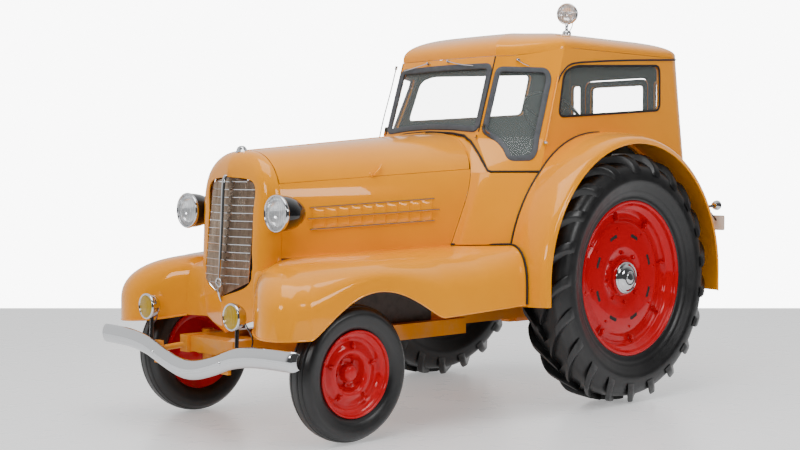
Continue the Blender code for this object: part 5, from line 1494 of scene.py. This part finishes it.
class TRACTOR_OT_cab(TractorOperator, bpy.types.Operator):
    """Cab walls, roof, cowl, door, panes and window seals"""

    bl_idname = "tractor.cab"
    bl_label = "Cab"

    def execute(self, context):
        middle = (0, 2.2, 1.6)
        screen = on_wall(WINDSCREEN, 0.393, 0.035)
        corner = on_wall(CORNER_WINDOW, 0.33, 0.028)
        flank = on_wall(SIDE_WINDOW, 1.19, 0.045)

        def right(s, z):
            """The same place on the right-hand side."""
            return cab_point(-np.asarray(s), z)

        edge = border(sill_height, cab_top, -1.0, 1.0, 90)
        inner = side_match(screen, [(-0.94, 1.62), (0.94, 1.62), (0.93, 1.98),
                                    (-0.93, 1.98)], 90)
        front = [window_panel(edge, inner, cab_point)]
        edge = border(lambda s: CAB_SILL_Z + 0 * s, cab_top, 1.0, 2.0)
        inner = side_match(corner, [(1.43, 1.45), (1.82, 1.46), (1.84, 1.95), (1.10, 1.96)])
        front += [window_panel(edge, inner, cab_point), window_panel(edge, inner, right)]
        panel("windscreen_frame", front, middle, FINISHES["body"], "cab_front", wall=0.022,
              lining=FINISHES["lining"])
        edge = border(side_low, cab_top, 2.0, 3.0)
        inner = side_match(flank, [(2.07, 1.70), (2.85, 1.77), (2.87, 2.04), (2.08, 1.98)])
        for word, place, hand in (("left", cab_point, 1), ("right", right, -1)):
            low_s = np.linspace(3.0, 4.03, 30)[:, None]
            share = np.linspace(0, 1, 24)[None, :]
            z = side_low(low_s) * (1 - share) + cab_top(low_s) * share
            panel(f"cab_flank_{word}", [window_panel(edge, inner, place),
                                        place(low_s + 0 * share, z)], middle,
                  FINISHES["body"], f"cab_side_{word}", wall=0.022,
                  lining=FINISHES["lining"])
            for label, window in (("corner_pane", corner), ("side_pane", flank)):
                node = label.replace("_pane", "_glass") + f"_{word}"
                pane = make_object(f"{label}_{word}", [window_fill(window, place, 0.010)],
                                   inside=np.array(middle))
                dress(pane, FINISHES["glass"], "chassis", "glass", node)
            out = (0.75 * hand, -0.66, 0.3)
            ring = make_object(f"corner_seal_{word}",
                               [seal_ring(corner, place, 0.034, 0.014, up=out)],
                               closed=True)
            dress(ring, FINISHES["seal"], "chassis", "black")
            ring = make_object(f"side_seal_{word}", [seal_ring(flank, place, 0.015, 0.009,
                                                               up=(hand, 0, 0.1))],
                               closed=True)
            dress(ring, FINISHES["bead"], "chassis", "black")
        pane = make_object("windscreen_pane", [window_fill(screen, cab_point, 0.010)],
                           inside=np.array(middle))
        dress(pane, FINISHES["glass"], "chassis", "glass", "windshield")
        ring = make_object("windscreen_seal",
                           [seal_ring(screen, cab_point, 0.036, 0.014, up=(0, -1, 0.3))],
                           closed=True)
        dress(ring, FINISHES["seal"], "chassis", "black")
        door = rounded(DOOR, 0.06)
        walls = [window_panel(border(lambda x: 0.76 + 0 * x, lambda x: 2.103 + 0 * x,
                                     -0.295, 0.295), side_match(door, DOOR), rear_point)]
        small = rounded(REAR_WINDOW, 0.03)
        for hand in (1, -1):
            def wall_point(x, z, hand=hand):
                """The rear wall's point on one side."""
                return rear_point(hand * x, z)

            walls.append(window_panel(border(lambda x: 0.76 + 0 * x,
                                             lambda x: 2.103 + 0 * x, 0.295, 0.407),
                                      side_match(small, REAR_WINDOW), wall_point))
            word = "left" if hand > 0 else "right"
            ring = make_object(f"rear_seal_{word}", [seal_ring(small, wall_point, 0.012,
                                                               0.008)], closed=True)
            dress(ring, FINISHES["bead"], "chassis", "black")
        panel("rear_wall", walls, middle, FINISHES["body"], "cab_rear", wall=0.022,
              lining=FINISHES["lining"])
        leaf = rounded([(x * 0.978, z + (0.006 if z < 1.2 else -0.006)) for x, z in DOOR],
                       0.055)
        hole = rounded(DOOR_WINDOW, 0.04)
        panel("door_leaf", [window_panel(even(leaf, 280), ray_match(
            hole, hole.mean(axis=0), even(leaf, 280)), rear_point)], middle,
              FINISHES["body"], "rear_door", body="rear_door", wall=0.022,
              lining=FINISHES["lining"])
        pane = make_object("door_pane", [window_fill(hole, rear_point, 0.010)],
                           inside=middle)
        dress(pane, FINISHES["glass"], "rear_door", "glass", "door_glass")
        ring = make_object("door_seal", [seal_ring(hole, rear_point, 0.018, 0.012)],
                           closed=True)
        dress(ring, FINISHES["bead"], "rear_door", "black")
        knob = lathe([(0, 0.008), (0.016, 0.007), (0.020, 0.002), (0.020, -0.003)],
                     (-0.215, CAB_REAR, 1.38), (0, 1, 0), 32)
        grip = curve([(-0.215, CAB_REAR + 0.008, 1.38), (-0.213, CAB_REAR + 0.018, 1.38),
                      (-0.185, CAB_REAR + 0.020, 1.378), (-0.12, CAB_REAR + 0.018, 1.374)],
                     24)
        handle = make_object("door_handle", [knob, sweep(grip, circle(0.006, 10))],
                             closed=True)
        dress(handle, FINISHES["chrome"], "rear_door", "chrome")
        pins = [lathe([(0, 0.028), (0.0075, 0.026), (0.009, 0.02), (0.009, -0.02),
                       (0.0075, -0.026), (0, -0.028)], (0.27, CAB_REAR + 0.0096, z),
                      (0, 0, 1), 20) for z in (1.08, 1.40, 1.84)]
        hinges = make_object("door_hinges", pins, closed=True)
        dress(hinges, FINISHES["body"], "rear_door", "body")
        panel("roof_skin", [roof_grid()], (0, 2.2, 1.9), FINISHES["body"], "roof", wall=0.012,
              lining=FINISHES["lining"])
        panel("cowl_skin", cowl_grids(), (0, 1.4, 1.0), FINISHES["body"], "cowl", wall=0.008)
        return {"FINISHED"}


class TRACTOR_OT_trim(TractorOperator, bpy.types.Operator):
    """Beading, drip mouldings, wipers, aerial, rails and the tail lamp"""

    bl_idname = "tractor.trim"
    bl_label = "Trim"

    def execute(self, context):
        radius = context.scene.tractor.bead_radius
        turn = np.linspace(0.5, 1, 60) * math.pi

        def line(points, size, count=80):
            """A round bead through the given points."""
            return sweep(curve(points, count), circle(size, 8))

        beads, bright, rails = [], [], []
        for side in (1, -1):
            s = np.linspace(0, 1, 70)
            sill = cab_point(s, sill_height(s) + 0.004)
            low = cab_point(np.linspace(1, 2, 20)[1:], np.full(19, CAB_SILL_Z - 0.003))
            along = np.concatenate([sill, low]) + (0, -0.006, 0)
            y = WHEELBASE + FENDER_R * np.cos(turn)
            z = REAR_R + FENDER_R * np.sin(turn)
            x = np.maximum(np.where(z > CAB_SILL_Z, wall_x(y, z), 0.69), 0.640) + 0.002
            keep = z > 0.955
            down = stack(x, y, z)[keep]
            foot = front_fender_grid(1)[-1][::3] + (0.003, -0.002, 0.004)
            nose = fender_ridge(np.linspace(22.0, 26, 40)) + (0.002, -0.002, 0.0055)
            for path in (along, down, foot, nose):
                path = mirrored(np.asarray(path), side)
                beads.append(sweep(path, circle(radius, 8), up=(0.3 * side, -0.5, 0.8)))
            drip = [(2.0, 1.895), (2.02, 1.95), (2.09, 2.008), (2.3, 2.037), (2.6, 2.064),
                    (3.0, 2.092), (3.4, 2.099), (3.9, 2.100)]
            drip = curve([cab_point(side * s, z) for s, z in drip], 90)
            beads.append(sweep(drip, circle(0.0058, 8)))
            seam = cab_point(side * np.full(20, 1.0), np.linspace(1.60, cab_top(1.0), 20))
            beads.append(sweep(seam, circle(0.0040, 8), up=(0, 1, 0)))
            rail = cab_point(side * np.full(30, 1.985), np.linspace(1.535, 1.93, 30))
            rail = rail + np.array([side * 0.007, -0.004, 0])
            rails.append(sweep(rail, circle(0.0055, 10), up=(0, 1, 0)))
            bright.append(lathe([(0, 0.016), (0.009, 0.014), (0.012, 0.004), (0.009, -0.01)],
                                rail[0], (side, -0.3, -0.4), 20))
            for pivot, tip, far in (((0.09, 2.028), (0.36, 2.005), (0.64, 1.990)),
                                    ((1.36, 2.020), (1.45, 2.000), (1.55, 1.985))):
                if side < 0 and pivot[0] < 1:
                    pivot, tip, far = (0.35, 2.024), (0.62, 2.004), (0.86, 1.990)
                mid, end = (cab_point(side * p[0], p[1]) for p in (tip, far))
                start = cab_point(side * pivot[0], pivot[1])
                lift_by = np.array([side * 0.004, -0.016, 0.002])
                bright.append(lathe([(0, 0.022), (0.006, 0.021), (0.009, 0.012),
                                     (0.010, 0)], start, (0, -1, 0.25), 20))
                bright.append(line([start + lift_by, mid + lift_by, end + lift_by], 0.0028,
                                   16))
        beads_made = make_object("panel_beading", beads, closed=True)
        dress(beads_made, FINISHES["bead"], "chassis", "black")
        rails_made = make_object("grab_rails", rails, closed=True)
        dress(rails_made, FINISHES["body"], "chassis", "body")
        rod = [(-0.448, 1.225, 1.560), (-0.444, 1.262, 1.70), (-0.436, 1.318, 1.88),
               (-0.430, 1.356, 2.016)]
        bright.append(line(rod, 0.0038, 30))
        bright += [lathe([(0, 0.012), (0.008, 0.010), (0.008, -0.012), (0, -0.014)], place,
                         (0, 0.3, 1), 16) for place in (rod[0], rod[-1])]
        bright_made = make_object("wipers_and_aerial", bright, closed=True)
        dress(bright_made, FINISHES["chrome"], "chassis", "chrome")
        post = make_object("tail_bracket", [line([(0.885, 2.797, 1.141), (0.885, 2.83, 1.150),
                                                  (0.885, 2.88, 1.150)], 0.009, 14),
                                            line([(0.885, 2.80, 1.140), (0.885, 2.87, 1.09),
                                                  (0.885, 2.905, 1.06)], 0.006, 14)],
                           closed=True)
        dress(post, FINISHES["black"], "chassis", "black")
        tail = (0.885, 2.915, 1.155)
        shell = make_object("tail_lamp", [lathe([(0.030, 0.006), (0.032, 0), (0.030, -0.014),
                                                 (0.020, -0.036), (0, -0.046)], tail,
                                                (0, 1, 0), 40)], inside=tail)
        dress(shell, FINISHES["chrome"], "chassis", "chrome")
        lens = make_object("tail_lens", [lathe([(0, 0.014), (0.016, 0.011), (0.029, 0.003)],
                                               tail, (0, 1, 0), 40)], inside=tail)
        dress(lens, FINISHES["red_lens"], "chassis", "glass")
        card = np.array(rounded_bar(0.150, 0.095, 0.010, 4))
        card = np.concatenate([card, card[:1]])
        rings = [card * 0, card * 0.96, card]
        plate = make_object("blank_plate", [np.stack([stack(
            0.872 + r[:, 0], 2.912 + 0.003 * (1 - k), 1.045 + r[:, 1])
            for k, r in enumerate(rings)])], inside=(0.872, 2.7, 1.045))
        thick = plate.modifiers.new("wall", "SOLIDIFY")
        thick.thickness = 0.002
        dress(plate, FINISHES["plate"], "chassis", "body")
        return {"FINISHED"}


class TRACTOR_OT_interior(TractorOperator, bpy.types.Operator):
    """Seat, steering wheel, gauges and levers"""

    bl_idname = "tractor.interior"
    bl_label = "Interior"

    def execute(self, context):
        for name, node, size, place, lean in (
                ("seat_pad", "seat_cushion", (0.43, 0.42, 0.10), (0.32, 2.52, 1.181), 0.0),
                ("back_pad", "seat_back", (0.43, 0.085, 0.425), (0.32, 2.742, 1.461),
                 math.atan2(0.07, 0.44))):
            pad = stuffed(name, size, place, lean)
            dress(pad, FINISHES["hide"], "chassis", "upholstery", node)
        centre = np.array([0.35, 1.95, 1.69])
        axis = np.array([0, 0.76, 0.65])
        axis /= np.linalg.norm(axis)
        level = np.array([1.0, 0, 0])
        rise = np.cross(axis, level)
        turn = np.linspace(0, 2 * math.pi, 97)[:-1]
        ring = centre + 0.208 * (np.cos(turn)[:, None] * level + np.sin(turn)[:, None] * rise)
        wheel = [sweep(ring, circle(0.0105, 14), up=axis, loop=True)]
        bosses = [lathe([(0, 0.004), (0.024, 0.0), (0.032, -0.012), (0.030, -0.030),
                         (0.016, -0.045)], centre - axis * 0.016, axis, 40)]
        for k in range(3):
            a = math.radians(90 + 120 * k)
            out = math.cos(a) * level + math.sin(a) * rise
            wheel.append(sweep(np.array([centre - axis * 0.03 + out * 0.022,
                                         centre - axis * 0.024 + out * 0.10,
                                         centre + out * 0.205]),
                               circle(0.0075, 10, 0.6), up=axis))
        rim = make_object("steering_rim", wheel + bosses, closed=True)
        dress(rim, FINISHES["black"], "steering_wheel", "black", "steering_wheel")
        button = make_object("horn_button", [lathe([(0, 0.006), (0.014, 0.004), (0.020, -0.002)],
                                                   centre - axis * 0.012, axis, 32)],
                             inside=centre - axis * 0.05)
        dress(button, FINISHES["dial"], "steering_wheel", "iron")
        rings, faces = [], []
        for x, z, r in ((0.10, 1.45, 0.036), (0.20, 1.45, 0.036), (0.30, 1.46, 0.048),
                        (-0.02, 1.45, 0.036), (-0.12, 1.45, 0.036)):
            place = (x, 1.4005, z)
            rings.append(lathe([(r, 0.002), (r - 0.003, 0.007), (r - 0.006, 0.003)], place,
                               (0, 1, 0), 36))
            faces.append(lathe([(0, 0.0025), (r - 0.006, 0.0025)], place, (0, 1, 0), 36))
        bezels = make_object("gauge_bezels", rings, inside=(0, 1.2, 1.45))
        dress(bezels, FINISHES["chrome"], "chassis", "chrome")
        dials = make_object("gauge_dials", faces, inside=(0, 1.2, 1.45))
        dress(dials, FINISHES["dial"], "chassis", "iron")
        levers = [sweep(curve(p, 24), circle(0.008, 10)) for p in (
            [(-0.02, 1.95, 0.86), (-0.02, 1.99, 1.10), (-0.03, 2.00, 1.26)],
            [(0.06, 1.86, 0.86), (0.06, 1.84, 1.05), (0.06, 1.80, 1.18)])]
        knobs = [lathe([(0, 0.024), (0.015, 0.018), (0.020, 0.004), (0.014, -0.012),
                        (0, -0.016)], p, (0, 0, 1), 24)
                 for p in ((-0.03, 2.00, 1.27), (0.06, 1.80, 1.19))]
        gear = make_object("levers", levers + knobs, closed=True)
        dress(gear, FINISHES["black"], "chassis", "black")
        return {"FINISHED"}


class TRACTOR_OT_front_wheels(TractorOperator, bpy.types.Operator):
    """Front tyres and wheels"""

    bl_idname = "tractor.front_wheels"
    bl_label = "Front wheels"

    def execute(self, context):
        for word, side in (("left", 1), ("right", -1)):
            build_front_wheel(word, side)
        return {"FINISHED"}


class TRACTOR_OT_rear_wheels(TractorOperator, bpy.types.Operator):
    """Rear tyres, discs, clamps and hub caps"""

    bl_idname = "tractor.rear_wheels"
    bl_label = "Rear wheels"

    def execute(self, context):
        for word, side in (("left", 1), ("right", -1)):
            build_rear_wheel(word, side)
        return {"FINISHED"}


class TRACTOR_OT_lamps(TractorOperator, bpy.types.Operator):
    """Headlamps, amber fog lamps and the roof's spot lamp"""

    bl_idname = "tractor.lamps"
    bl_label = "Lamps"

    def execute(self, context):
        for word, side in (("left", 1), ("right", -1)):
            centre = np.array([side * LAMP[0], LAMP[1], LAMP[2]])
            build_lamp(f"headlamp_{word}", centre, (0, -1, 0), 0.093, 0.172,
                       FINISHES["black"], "black", FINISHES["lens"], [f"headlamp_{word}"],
                       0.0065)
            arm = curve([centre + (0, 0.115, 0.0), centre + (-side * 0.03, 0.115, 0.0),
                         (side * 0.312, LAMP[1] + 0.115, LAMP[2])], 14)
            post = make_object(f"lamp_arm_{word}", [sweep(arm, circle(0.020, 20))],
                               closed=True)
            dress(post, FINISHES["body"], "chassis", "body")
            centre = np.array([side * FOG[0], FOG[1], FOG[2]])
            build_lamp(f"fog_lamp_{word}", centre, (0, -1, 0), 0.066, 0.068,
                       FINISHES["chrome"], "chrome", FINISHES["amber"],
                       [f"fog_lamp_{word}"], 0.0065)
            foot = centre + (0, 0.030, -0.225)
            stalk = curve([centre + (0, 0.036, -0.052), centre + (0, 0.034, -0.09), foot], 16)
            loop = curve([centre + (0, 0.066, -0.01), centre + (side * 0.03, 0.085, -0.07),
                          centre + (side * 0.075, 0.075, -0.125),
                          centre + (side * 0.05, 0.06, -0.185), foot + (0, 0.012, 0.04)], 50)
            post = make_object(f"fog_post_{word}", [sweep(stalk, circle(0.0105, 14), (0, 1, 0)),
                                                    sweep(loop, circle(0.0035, 8), (0, 1, 0))],
                               closed=True)
            dress(post, FINISHES["black"], "chassis", "black")
        aim = np.array([0.35, -0.9, -0.05])
        aim /= np.linalg.norm(aim)
        centre = np.array(SPOT)
        build_lamp("spot_lamp", centre, aim, 0.064, 0.080, FINISHES["chrome"], "chrome",
                   FINISHES["lens"], ["spot_lamp"], 0.005)
        foot = centre - (0, 0, 0.128)
        stem = curve([centre - aim * 0.03 - (0, 0, 0.045), centre - (0, 0, 0.075), foot], 14)
        base = lathe([(0, 0.016), (0.018, 0.014), (0.026, 0.006), (0.028, 0.0),
                      (0.028, -0.012)], foot + (0, 0, 0.010), (0, 0, 1), 32)
        wire = curve([centre - aim * 0.088, centre - aim * 0.115 - (0, 0, 0.02),
                      centre - aim * 0.105 - (0, 0, 0.07), foot + (-0.01, 0.03, 0.012)], 30)
        post = make_object("spot_post", [sweep(stem, circle(0.010, 14), (0, 1, 0)), base,
                                         sweep(wire, circle(0.003, 8), (1, 0, 0))],
                           closed=True)
        dress(post, FINISHES["chrome"], "chassis", "chrome")
        return {"FINISHED"}


class TRACTOR_OT_bumper(TractorOperator, bpy.types.Operator):
    """Bowed chrome bumper with its bolts"""

    bl_idname = "tractor.bumper"
    bl_label = "Bumper"

    def execute(self, context):
        half = [(0, -0.505, 0.352), (0.10, -0.5035, 0.362), (0.22, -0.500, 0.392),
                (0.32, -0.4985, 0.424), (0.40, -0.497, 0.446), (0.50, -0.4945, 0.461),
                (0.60, -0.492, 0.468), (0.73, -0.487, 0.470), (0.853, -0.482, 0.470)]
        path = curve([(-x, y, z) for x, y, z in half[:0:-1]] + half, 220)
        bow = np.sin(np.linspace(-1, 1, 21) * math.pi / 2)
        tip = np.clip((np.abs(np.linspace(-1, 1, 220)) - 0.96) / 0.04, 0, 1)
        wrap = 1 - np.sqrt(1 - 0.99 * tip ** 2)
        size = 1 - 0.3 * wrap
        face = np.stack([0 * bow, -0.006 - 0.031 * np.sqrt(1 - 0.985 * bow ** 2),
                         0.052 * bow], -1)
        grid = path[:, None] + face[None] * size[:, None, None]
        grid[..., 1] += 0.030 * wrap[:, None]
        bar = make_object("bumper_bar", [grid], inside=(0, 0.5, 0.45))
        solid = bar.modifiers.new("wall", "SOLIDIFY")
        solid.thickness = 0.007
        solid.offset = -1
        soft = bar.modifiers.new("edge", "BEVEL")
        soft.width = 0.002
        soft.segments = 3
        soft.limit_method = "ANGLE"
        soft.angle_limit = math.radians(50)
        soft.harden_normals = True
        dress(bar, FINISHES["chrome"], "chassis", "chrome", "bumper")
        heads = []
        for side in (-1, 1):
            heads.append(lathe([(0, 0.008), (0.010, 0.0065), (0.015, 0.001), (0.015, -0.004)],
                               (side * 0.30, -0.5355, 0.417), (0, -1, 0), 28))
        bolts = make_object("bumper_bolts", heads, inside=(0, 0.5, 0.4))
        dress(bolts, FINISHES["chrome"], "chassis", "chrome")
        return {"FINISHED"}


class TRACTOR_OT_chassis(TractorOperator, bpy.types.Operator):
    """Finishes of the frame's own parts that stay in sight"""

    bl_idname = "tractor.chassis"
    bl_label = "Chassis"

    def execute(self, context):
        looks = {"axle_case": "frame", "frame_rails": "frame", "front_axle": "frame",
                 "knuckle_left": "frame", "knuckle_right": "frame", "tie_rod": "frame",
                 "engine_block": "iron", "cab_tub": "lining", "dashboard": "lining",
                 "rear_glass_left": "glass", "rear_glass_right": "glass",
                 "seat_base": "black"}
        for node, look in looks.items():
            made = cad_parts[node]
            made.data.materials.clear()
            made.data.materials.append(FINISHES[look])
        return {"FINISHED"}


OPERATORS = (TRACTOR_OT_stage, TRACTOR_OT_hood, TRACTOR_OT_nose, TRACTOR_OT_fenders,
             TRACTOR_OT_cab, TRACTOR_OT_trim, TRACTOR_OT_interior,
             TRACTOR_OT_front_wheels, TRACTOR_OT_rear_wheels,
             TRACTOR_OT_lamps, TRACTOR_OT_bumper, TRACTOR_OT_chassis)


class TRACTOR_PT_panel(bpy.types.Panel):
    """The tractor's settings and operators in the sidebar"""

    bl_idname = "TRACTOR_PT_panel"
    bl_label = "Vintage cab tractor"
    bl_space_type = "VIEW_3D"
    bl_region_type = "UI"
    bl_category = "Tractor"

    def draw(self, context):
        for name in TractorSettings.__annotations__:
            self.layout.prop(context.scene.tractor, name)
        for operator in OPERATORS:
            self.layout.operator(operator.bl_idname)


def register():
    """Registers the settings, operators and panel."""
    for kind in (TractorSettings, *OPERATORS, TRACTOR_PT_panel):
        bpy.utils.register_class(kind)
    bpy.types.Scene.tractor = PointerProperty(type=TractorSettings)


def unregister():
    """Removes them again."""
    del bpy.types.Scene.tractor
    for kind in (TRACTOR_PT_panel, *reversed(OPERATORS), TractorSettings):
        bpy.utils.unregister_class(kind)


def main():
    register()
    mix_finishes(bpy.context.scene.tractor)
    for operator in OPERATORS:
        group, action = operator.bl_idname.split(".")
        getattr(getattr(bpy.ops, group), action)()
    bpy.context.view_layer.update()


if __name__ == "__main__":
    main()
